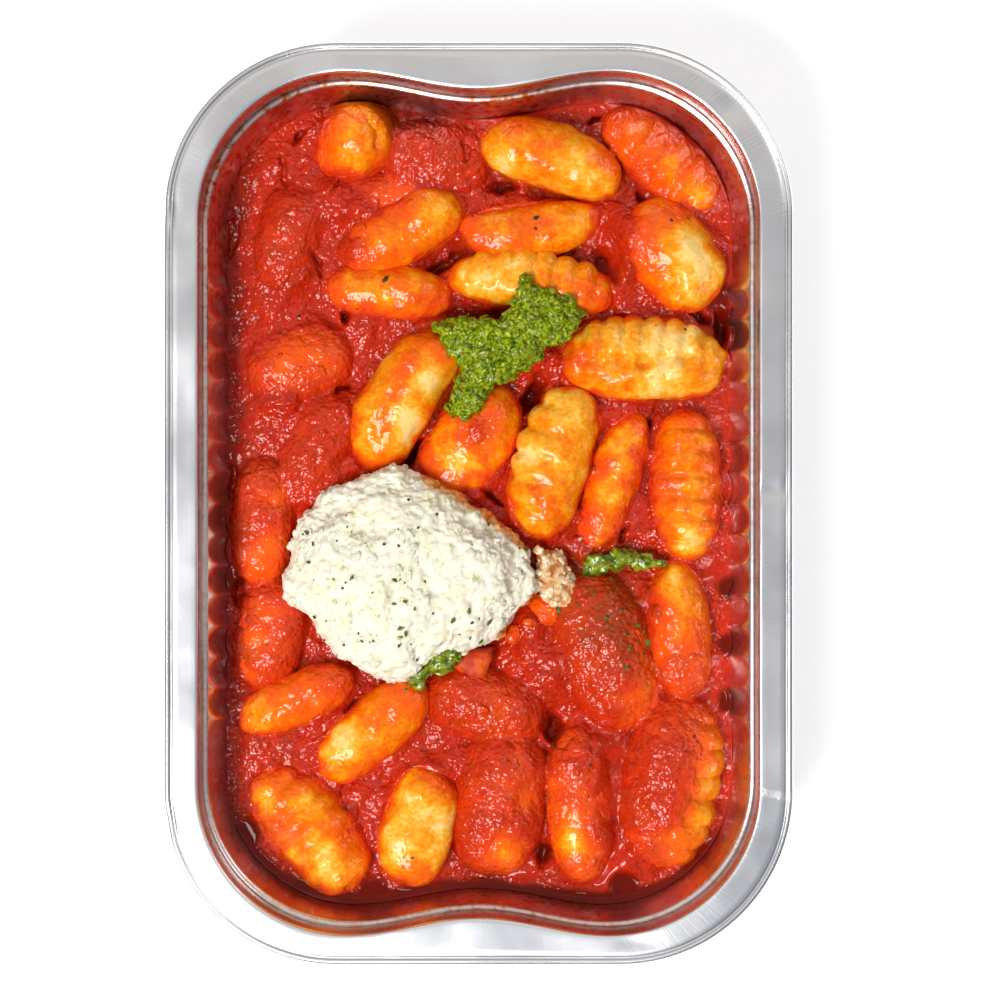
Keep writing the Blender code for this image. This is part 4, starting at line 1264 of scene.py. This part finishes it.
class GNOCCHI_OT_stage(bpy.types.Operator):
    """Lays the floor and sets the camera and the soft studio light"""
    bl_idname = "gnocchi.stage"
    bl_label = "Stage"

    def execute(self, context):
        settings = context.scene.gnocchi_stage
        corners = ((-1, -1, 0), (1, -1, 0), (1, 1, 0), (-1, 1, 0))
        mesh = mesh_from("pale_floor", np.array(corners) * FLOOR_REACH, [(0, 1, 2, 3)])
        floor = new_object("pale_floor", mesh)
        material, tree, shader, place = new_material(
            "Matt white painted board", Roughness=0.9, Emission_Color=(1.0, 1.0, 1.0, 1.0),
            Emission_Strength=0.5)
        wire(shader, Base_Color=mixed(tree, noise(tree, place, 3.0), settings.floor, "#F6F6F6"))
        mesh.materials.append(material)

        lens = bpy.data.cameras.new("overhead_camera")
        lens.sensor_width = 36
        lens.lens = 155.9
        lens.clip_end = 20
        camera = bpy.data.objects.new("overhead_camera", lens)
        camera.location = (4.47 * MM, 0.73 * MM, 0.938)
        context.scene.collection.objects.link(camera)
        context.scene.camera = camera

        for name, spot, size, share in SOFTBOXES:
            lamp = bpy.data.lights.new(name, "AREA")
            lamp.shape = "SQUARE"
            lamp.size = size
            lamp.energy = settings.key_power * share
            light = bpy.data.objects.new(name, lamp)
            light.location = spot
            light.rotation_euler = (-Vector(spot)).to_track_quat("-Z", "Y").to_euler()
            context.scene.collection.objects.link(light)
        world = bpy.data.worlds.new("white_room")
        world.use_nodes = True
        tree = world.node_tree
        way = add(tree, "ShaderNodeSeparateXYZ",
                  [add(tree, "ShaderNodeTexCoord", out="Generated")]).node.outputs
        # brighter overhead and beyond the tray, and warmer beyond it
        overhead = node_maths(tree, "MULTIPLY", remapped(tree, way[2], 0.3, 0.9, 0.2, 1.0),
                              settings.sky)
        beyond = remapped(tree, way[1], -0.02, 0.3, 1.0, 2.0)
        warmth = remapped(tree, way[1], -0.02, 0.16, 0.0, 1.0)
        wire(tree.nodes["Background"], Strength=node_maths(tree, "MULTIPLY", overhead, beyond),
             Color=mixed(tree, warmth, "#F0F4FF", "#FFF6EE"))
        context.scene.world = world
        context.scene.view_settings.view_transform = "Standard"
        return {"FINISHED"}


def flute_tree():
    """Presses the flutes into a tray's long sides, as deep as its attribute 'fluted' says."""
    tree, given = new_tree("Pressed flutes", Depth=0.0012, Pitch=0.00645, Sharpness=0.75,
                           Phase=0.0, Material=None)

    maths = partial(node_maths, tree)
    apart = add(tree, "ShaderNodeSeparateXYZ",
                [add(tree, "GeometryNodeInputPosition")]).node.outputs
    reach = add(tree, "GeometryNodeInputNamedAttribute", {"Name": "fluted"}, data_type="FLOAT")
    turn = maths("MULTIPLY", maths("ADD", maths("DIVIDE", apart[1], given["Pitch"]),
                                   given["Phase"]), math.pi)
    wave = maths("POWER", maths("ABSOLUTE", maths("SINE", turn)), given["Sharpness"])
    inward = maths("MULTIPLY", maths("MULTIPLY", maths("SUBTRACT", 1.0, wave), given["Depth"]),
                   maths("MULTIPLY", reach, maths("SIGN", apart[0])))
    shift = add(tree, "ShaderNodeCombineXYZ", [maths("MULTIPLY", inward, -1.0), 0.0, 0.0])
    pressed = add(tree, "GeometryNodeSetPosition", {"Geometry": given["Geometry"], "Offset": shift})
    end_tree(tree, pressed, given["Material"])
    return tree


# Dents in the rim and creases across it: x, y, radius along y, radius along x, drop
RIM_DENTS = (
    (-64.5, 61.0, 3.0, 1.6, 0.35), (-64.5, -65.8, 3.0, 1.6, 0.4), (60.6, 2.8, 2.2, 4.0, 0.22),
    (33.0, -91.0, 1.2, 4.0, 0.3), (52.0, 82.0, 2.5, 2.0, 0.3), (-33.0, 92.5, 5.0, 3.0, 0.18),
    (-61.5, 20.0, 6.0, 3.0, 0.12), (61.5, -38.0, 7.0, 3.0, 0.12), (-20.0, -91.5, 7.0, 2.5, 0.12),
)


# Where sauce oil has smeared the inner wall, over a painted reflection of the sauce: x, y, radius,
# strength
OIL_SMEARS_AND_SAUCE_REFLECTION = ((-30, 84, 16, 1.0), (5, 84, 12, 0.9), (-50, 66, 12, 0.9), (40, 80, 12, 0.5),
              (52, 60, 12, 0.4), (-56, 40, 16, 0.4), (10, -84, 24, 0.4))


class GNOCCHI_OT_tray(bpy.types.Operator):
    """Presses the foil tray with its rolled bead, rim, ledge and flutes"""
    bl_idname = "gnocchi.tray"
    bl_label = "Foil tray"

    def execute(self, context):
        sizes = context.scene.gnocchi_tray
        shape = tray_shape()
        rows = [ring_columns(ring, shape) for ring in TRAY_RINGS]
        rows += [rows[len(TRAY_RINGS) - 1] * (scale, scale, 1.0) for scale in FLOOR_SCALES]
        count = len(rows[0])
        points = np.concatenate(rows + [np.array([[0.0, 0.0, rows[-1][0][2]]])])
        faces = []
        for row in range(len(rows) - 1):
            a = np.arange(count) + row * count
            b = np.roll(np.arange(count), -1) + row * count
            faces += np.stack((a, b, b + count, a + count), axis=1).tolist()
        tip = len(points) - 1
        last = (len(rows) - 1) * count
        faces += [(last + i, last + (i + 1) % count, tip) for i in range(count)]

        outer = rows[OUTER_RING]
        steps = np.hypot(*(np.roll(outer, -1, axis=0) - outer)[:, :2].T)
        around = np.concatenate(([0], np.cumsum(steps)[:-1]))
        gaps = [np.hypot(*(b - a)[:, :2].T) + np.abs(b[:, 2] - a[:, 2])
                for a, b in zip(rows, rows[1:])]
        across = np.concatenate((np.zeros((1, count)), np.cumsum(gaps, axis=0))).ravel()
        x, y, z = points.T
        fluted = np.zeros(len(points))
        for row, ring in enumerate(TRAY_RINGS):
            part = slice(row * count, (row + 1) * count)
            inside = np.abs(y[part]) <= shape.flute_count * shape.flute_pitch / 2 + 1e-6
            on_side = np.abs(x[part]) > shape.half_width - ring[0] - 0.01
            fluted[part] = ring[5] * inside * on_side
        drop = np.zeros(len(points))
        for cx, cy, along, wide, depth in RIM_DENTS:
            drop += depth * np.exp(-((x - cx) / wide) ** 2 - ((y - cy) / along) ** 2)
        on_rim = np.arange(len(points)) < RIM_RINGS * count
        drop += 0.05 * np.clip(cloud(x, y, 14, 61, 2), 0, 1)
        z = z - drop * on_rim
        x = x * np.where(on_rim, 1 - 0.6 * np.clip(drop, 0, 1) / 64, 1)
        mesh = mesh_from("pressed_foil_tray", np.column_stack((x, y, z)), faces)
        corner = smoothstep(22, 34, np.abs(x)) * smoothstep(50, 66, np.abs(y))
        note(mesh, "around", np.append(np.tile(around, len(rows)), 0.0))
        note(mesh, "across", np.append(across, 0.0))
        note(mesh, "corner", 0.12 + 0.88 * corner)
        note(mesh, "fluted", fluted)
        tray = new_object("pressed_foil_tray", mesh)
        through(tray, flute_tree(), Depth=sizes.flute_depth, Pitch=sizes.flute_pitch,
                Sharpness=FLUTE_SHARPNESS, Phase=shape.flute_phase,
                Material=foil_material(context.scene.gnocchi_colours))
        foil = tray.modifiers.new("foil_thickness", "SOLIDIFY")
        foil.thickness = shape.foil * MM
        foil.offset = -1.0
        mesh = baked(tray)
        x, y, z = places(mesh).T
        facing = normals(mesh)
        outward = facing[:, 0] * x + facing[:, 1] * y
        inner_wall = (z < 36.8) & (z > 18) & (outward < 0)
        # oil smears, and a faint orange over the whole inner wall that is painted reflection of the
        # sauce
        note(mesh, "smear", inner_wall * np.clip(0.35 + bumps(OIL_SMEARS_AND_SAUCE_REFLECTION, x, y), 0, 1))
        note(mesh, "matte", ((z < 36.2) & (outward > 0)).astype(float))
        finished(tray, "foil", "foil_tray")
        return {"FINISHED"}


class GNOCCHI_OT_gnocchi(bpy.types.Operator):
    """Rolls each gnocco and lays the film of sauce on it"""
    bl_idname = "gnocchi.gnocchi"
    bl_label = "Gnocchi"

    def execute(self, context):
        sizes = context.scene.gnocchi_tray
        shape = tray_shape()
        tree = gnocco_tree()
        material = dough_material(context.scene.gnocchi_colours)
        coated = {part["node"] for part in frame["record"]["subparts"]
                  if part["material_slot"] == "coated_dough"}
        for number, (node, seat) in enumerate(seats().items(), start=1):
            roll = ROLLS[node]
            item = new_object(f"rolled_gnocco_{number:02d}",
                              mesh_from("start", [(0, 0, 0)], []))
            mesh = through(item, tree, Length=roll.length * MM, Width=roll.width * MM,
                           Height=2 * seat.half_height * MM, Bluntness=BLUNTNESS,
                           Bend=roll.bend * MM, Ridges=float(roll.ridges),
                           Ridge_Depth=sizes.ridge_depth, Ridge_Side=math.radians(roll.side),
                           Lump_Size=8 * MM, Lump_Depth=3.0 * sizes.lump_depth,
                           Dimple_Size=2.6 * MM, Dimple_Depth=0.6 * sizes.lump_depth,
                           Seed=number * 3.7, Material=material)
            turn = np.array(seat.matrix)
            points = places(mesh) @ turn[:3, :3].T + turn[:3, 3]
            outward = normals(mesh) @ turn[:3, :3].T
            x, y, z = points.T
            for ax, ay, bx, by, width, depth in roll.dents:
                far = line_distance(x, y, ((seat.x + ax, seat.y + ay), (seat.x + bx, seat.y + by)))
                dip = depth * np.exp(-(far / width) ** 2) * (z > seat.z)
                points -= outward * dip[:, None]
            move_points(mesh, points)
            x, y, z = points.T
            rise = z - sauce_level(x, y, shape)
            note(mesh, "cover", cover(node, seat, x, y, rise))
            finished(item, "coated_dough" if node in coated else "dough", node)
        return {"FINISHED"}


class GNOCCHI_OT_sauce(bpy.types.Operator):
    """Fills the tray with sauce that drapes over the coated gnocchi"""
    bl_idname = "gnocchi.sauce"
    bl_label = "Tomato sauce"

    def execute(self, context):
        sizes = context.scene.gnocchi_tray
        shape = tray_shape()
        mesh = sauce_mesh(seats(), shape)
        close_below(mesh, shape)
        item = new_object("pulpy_tomato_sauce", mesh)
        grained(item, sizes.pulp_depth, ((3.0, 1.3), (1.3, 0.4), (1.7, 0.5)), 2.0,
                sauce_material(context.scene.gnocchi_colours))
        finished(item, "sauce", "tomato_sauce")
        return {"FINISHED"}


# The stain along the scoop: its reach and the line that it follows
STAINED_EDGES = (
    (1.9, ((-9.6, 6.0), (-4.0, 3.4), (0.3, 0.3), (6.0, -3.8), (11.6, -7.9))),
    (0.5, ((11.6, -19.8), (8.0, -24.2), (4.6, -28.0))),
)


def past_stain(x, y):
    """How far each place lies beyond the scoop's stained edges: negative within the stain."""
    return np.minimum.reduce([line_distance(x, y, line) - reach for reach, line in STAINED_EDGES])


class GNOCCHI_OT_ricotta(bpy.types.Operator):
    """Drops the scoop of herb ricotta and its crumbs on the sauce"""
    bl_idname = "gnocchi.ricotta"
    bl_label = "Herb ricotta"

    def execute(self, context):
        sizes = context.scene.gnocchi_tray
        material = ricotta_material(context.scene.gnocchi_colours)
        stained_curd = plain_food_material("Ricotta crumbs soaked in sauce", "#B4601A",
                                           "#EAD09A", 2.0, 0.5, 0.3)
        for node, name, voxel, rounds in (("herb_ricotta", "herb_ricotta_scoop", 0.33, 10),
                                          ("ricotta_crumbs", "ricotta_crumb_heap", 0.26, 4)):
            item = soft_copy(node, name, voxel, rounds, 0.5)
            mesh = item.data
            x, y, z = places(mesh).T
            if node == "herb_ricotta":
                swell = 0.8 * cloud(x, y, 9, 81, 2) + 0.4 * cloud(x, y, 4, 82, 2)
                z = z + smoothstep(30, 33, z) * swell
                above_foot = z + 0.5 * cloud(x, y, 2, 84, 2)
                soaked = 1 - smoothstep(0.0, 1.0, past_stain(x, y) + 0.5 * cloud(x, y, 1.6, 83, 3))
                soaked = np.maximum(soaked, 1 - smoothstep(24.3, 25.6, above_foot))
                move_points(mesh, np.column_stack((x, y, z)))
            else:
                soaked = np.ones(len(x))
            note(mesh, "stained", soaked)
            grained(item, sizes.curd_depth, ((4.4, 2.2), (1.0, 0.9), (2.3, 1.1)), 5.0,
                    material if node == "herb_ricotta" else stained_curd)
            finished(item, "ricotta", node)
        return {"FINISHED"}


class GNOCCHI_OT_pesto(bpy.types.Operator):
    """Spoons the pesto over the gnocchi"""
    bl_idname = "gnocchi.pesto"
    bl_label = "Pesto"

    def execute(self, context):
        material = pesto_material(context.scene.gnocchi_colours)
        leafy = plain_food_material("Bruised basil leaf in oil", "#344E04", "#90A012", 1.3,
                                    0.3, 0.7)
        for node, name in (("pesto_dollop", "pesto_spoonful"),
                           ("pesto_strip", "pesto_under_ricotta"),
                           ("pesto_smear", "pesto_trace")):
            item = soft_copy(node, name, 0.26, 3, 1.1)
            grained(item, MM, ((3.4, 1.6), (1.1, 0.8), (2.1, 1.0)), 8.0,
                    material if node == "pesto_dollop" else leafy)
            finished(item, "pesto", node)
        return {"FINISHED"}


class GNOCCHI_OT_tomato(bpy.types.Operator):
    """Sets the piece of diced tomato beside the ricotta"""
    bl_idname = "gnocchi.tomato"
    bl_label = "Tomato piece"

    def execute(self, context):
        item = soft_copy("tomato_piece", "diced_tomato", 0.25, 2, 0.2)
        grained(item, MM, ((3.0, 0.3), (0.9, 0.1)), 11.0,
                plain_food_material("Diced ripe tomato", "#B82A08", "#E05A10", 3.0, 0.6, 0.0))
        finished(item, "tomato", "tomato_piece")
        return {"FINISHED"}


# Single flecks on the sauce and the gnocchi: x, y, length, turn (degrees)
LEAF_SPOTS = (
    (35.8, -29.3, 2.4, -60), (31.6, -30.6, 1.3, 20), (31.0, -34.5, 1.2, 40), (28.0, -15.8, 1.4, 10),
    (27.0, -24.0, 1.2, 70), (17.0, -22.6, 2.0, 30), (33.6, -25.6, 1.4, 80), (34.8, -27.0, 1.3, 60),
    (31.0, -27.5, 1.0, 40), (20.5, -21.0, 1.2, 60), (35.4, -38.0, 0.9, 0), (29.0, -17.2, 1.0, 50),
    (38.5, -36.3, 0.8, 20), (24.0, -19.0, 0.9, 80), (30.0, -22.5, 0.9, 10), (-25.7, 41.0, 0.8, 30),
)
PEPPER_SPOTS = (
    (43.4, 36.6, 0.8, 20), (12.0, 57.8, 0.8, 50), (12.0, 60.0, 1.3, 40), (45.3, -49.0, 0.9, 0),
    (46.0, -50.2, 0.7, 60), (23.4, -55.0, 0.8, 10), (15.8, -51.3, 1.2, 0), (-28.2, -64.4, 1.1, 20),
    (35.6, 17.6, 0.8, 70), (40.5, 59.5, 0.8, 0), (44.0, 60.0, 0.6, 0), (31.6, -0.5, 0.7, 0),
    (-38.0, 39.5, 0.9, 70), (23.0, -61.5, 0.6, 0), (41.5, -58.0, 0.5, 30), (-19.6, 47.2, 1.6, 50),
    (5.0, -37.5, 0.5, 0), (-46.0, 56.0, 0.6, 30), (24.5, 81.0, 0.8, 90), (-6.0, -40.0, 0.5, 0),
    (37.2, 37.4, 0.5, 0), (-23.0, 68.0, 0.6, 0), (8.0, 15.0, 0.5, 0), (-14.0, -74.5, 0.7, 0),
)
BIT_SPOTS = (
    (14.4, -22.4, 7.5, 20), (7.6, -27.6, 4.6, 35), (1.2, -43.0, 2.2, 10), (10.8, -25.0, 3.0, -20),
    (-24.0, 58.0, 1.6, 0), (-41.0, 68.6, 1.4, 30), (-47.0, 5.2, 1.2, 10), (9.6, -33.6, 1.4, 60),
    (-42.0, 31.0, 1.6, 20), (33.4, -27.0, 1.4, 60), (-26.2, -67.5, 1.0, 0), (-2.0, 60.4, 1.8, 20),
)


class GNOCCHI_OT_flecks(bpy.types.Operator):
    """Strews herbs, pepper and pulp over the food"""
    bl_idname = "gnocchi.flecks"
    bl_label = "Flecks"

    def execute(self, context):
        scatter_tree()
        scoop = bpy.data.objects["herb_ricotta_scoop"]
        x, y, z = places(scoop.data).T
        up = normals(scoop.data)[:, 2]
        open_top = (up > 0.35) & (z > 27)
        patchy = open_top * smoothstep(-0.2, 0.6, cloud(x, y, 7, 91, 2))
        leaf = plain_food_material("Chopped parsley and basil leaf", "#2C460A", "#66781A", 0.8,
                                   0.45, 0.2)
        pepper = plain_food_material("Cracked black pepper", "#1E1410", "#4A3020", 0.5, 0.5, 0.1)
        curd = ricotta_material(context.scene.gnocchi_colours)
        curd.name = "Crumbled fresh ricotta curd"
        crumbly = (z > 25.5) * smoothstep(-0.1, 0.7, cloud(x, y, 7, 95, 2))
        crumbly = crumbly * smoothstep(0.2, 1.2, past_stain(x, y))
        strewn_piece("ricotta_curds", scoop, crumbly, curd, "ricotta", Amount=170000.0,
                     Length=2.2 * MM, Breadth=0.75, Thickness=0.4, Lift=-0.25 * MM, Seed=6)
        strewn_piece("ricotta_leaf_flecks", scoop, patchy, leaf, "ricotta", Amount=55000.0,
                     Length=1.2 * MM, Breadth=0.5, Thickness=0.3, Lift=0.25 * MM, Seed=3)
        strewn_piece("ricotta_pepper", scoop, open_top.astype(float), pepper, "ricotta",
                     Amount=16000.0, Length=0.55 * MM, Breadth=0.8, Thickness=0.7,
                     Lift=0.2 * MM, Seed=4)
        heap = bpy.data.objects["ricotta_crumb_heap"]
        up = normals(heap.data)[:, 2]
        crumb = plain_food_material("Ricotta crumbs wetted with sauce", "#CE9650", "#F4EACC", 1.6,
                                    0.55, 0.1)
        strewn_piece("ricotta_crumbs", heap, (up > -0.2).astype(float), crumb, "ricotta",
                     Amount=260000.0, Length=1.7 * MM, Breadth=0.8, Thickness=0.6,
                     Lift=0.1 * MM, Seed=9)
        food = [item for item in context.scene.objects
                if item.name.startswith(("rolled_gnocco", "pulpy_tomato_sauce"))]
        placed_piece("sauce_leaf_flecks", food, LEAF_SPOTS, leaf, "sauce", 0.3, 11)
        placed_piece("sauce_pepper", food, PEPPER_SPOTS, pepper, "sauce", 0.6, 12)
        bits = placed_piece("tomato_bits", food, BIT_SPOTS,
                            bpy.data.materials["Simmered coarse tomato sauce"], "tomato", 0.5, 13)
        x, y, _ = places(bits.data).T
        note(bits.data, "cover", 1.05 + 0.25 * cloud(x, y, 2.5, 97, 2))
        note(bits.data, "relief", np.ones(len(x)))
        dollop = bpy.data.objects["pesto_spoonful"]
        up = normals(dollop.data)[:, 2]
        basil = plain_food_material("Chopped basil in oil", "#4A6206", "#93A016", 0.9, 0.3, 0.7)
        strewn_piece("pesto_leaf_flecks", dollop, (up > 0.0).astype(float), basil, "pesto",
                     Amount=160000.0, Length=1.2 * MM, Breadth=0.5, Thickness=0.25,
                     Lift=0.05 * MM, Seed=5)
        strewn_piece("pesto_torn_leaf", dollop, (up > 0.3).astype(float), basil, "pesto",
                     Amount=90000.0, Length=2.4 * MM, Breadth=0.42, Thickness=0.14,
                     Lift=0.15 * MM, Seed=15)
        return {"FINISHED"}


class GNOCCHI_PT_panel(bpy.types.Panel):
    """Lists the pieces of the tray and what can be changed on them"""
    bl_idname = "GNOCCHI_PT_panel"
    bl_label = "Gnocchi tray"
    bl_space_type = "VIEW_3D"
    bl_region_type = "UI"
    bl_category = "Gnocchi tray"

    def draw(self, context):
        for group in (context.scene.gnocchi_tray, context.scene.gnocchi_colours,
                      context.scene.gnocchi_stage):
            box = self.layout.box()
            for name in group.__annotations__:
                box.prop(group, name)
        for kind in OPERATORS:
            self.layout.operator(kind.bl_idname)


GROUPS = {"gnocchi_tray": TraySizes, "gnocchi_colours": TrayColours,
          "gnocchi_stage": StageSettings}
OPERATORS = (GNOCCHI_OT_stage, GNOCCHI_OT_tray, GNOCCHI_OT_gnocchi, GNOCCHI_OT_sauce,
             GNOCCHI_OT_ricotta, GNOCCHI_OT_pesto, GNOCCHI_OT_tomato, GNOCCHI_OT_flecks)


def register():
    for kind in (*GROUPS.values(), *OPERATORS, GNOCCHI_PT_panel):
        bpy.utils.register_class(kind)
    for name, kind in GROUPS.items():
        setattr(bpy.types.Scene, name, bpy.props.PointerProperty(type=kind))


def unregister():
    for name in GROUPS:
        delattr(bpy.types.Scene, name)
    for kind in (GNOCCHI_PT_panel, *reversed(OPERATORS), *reversed(list(GROUPS.values()))):
        bpy.utils.unregister_class(kind)


def main():
    register()
    grain_tree()
    for name in ("stage", "tray", "gnocchi", "sauce", "ricotta", "pesto", "tomato", "flecks"):
        getattr(bpy.ops.gnocchi, name)()


if __name__ == "__main__":
    main()
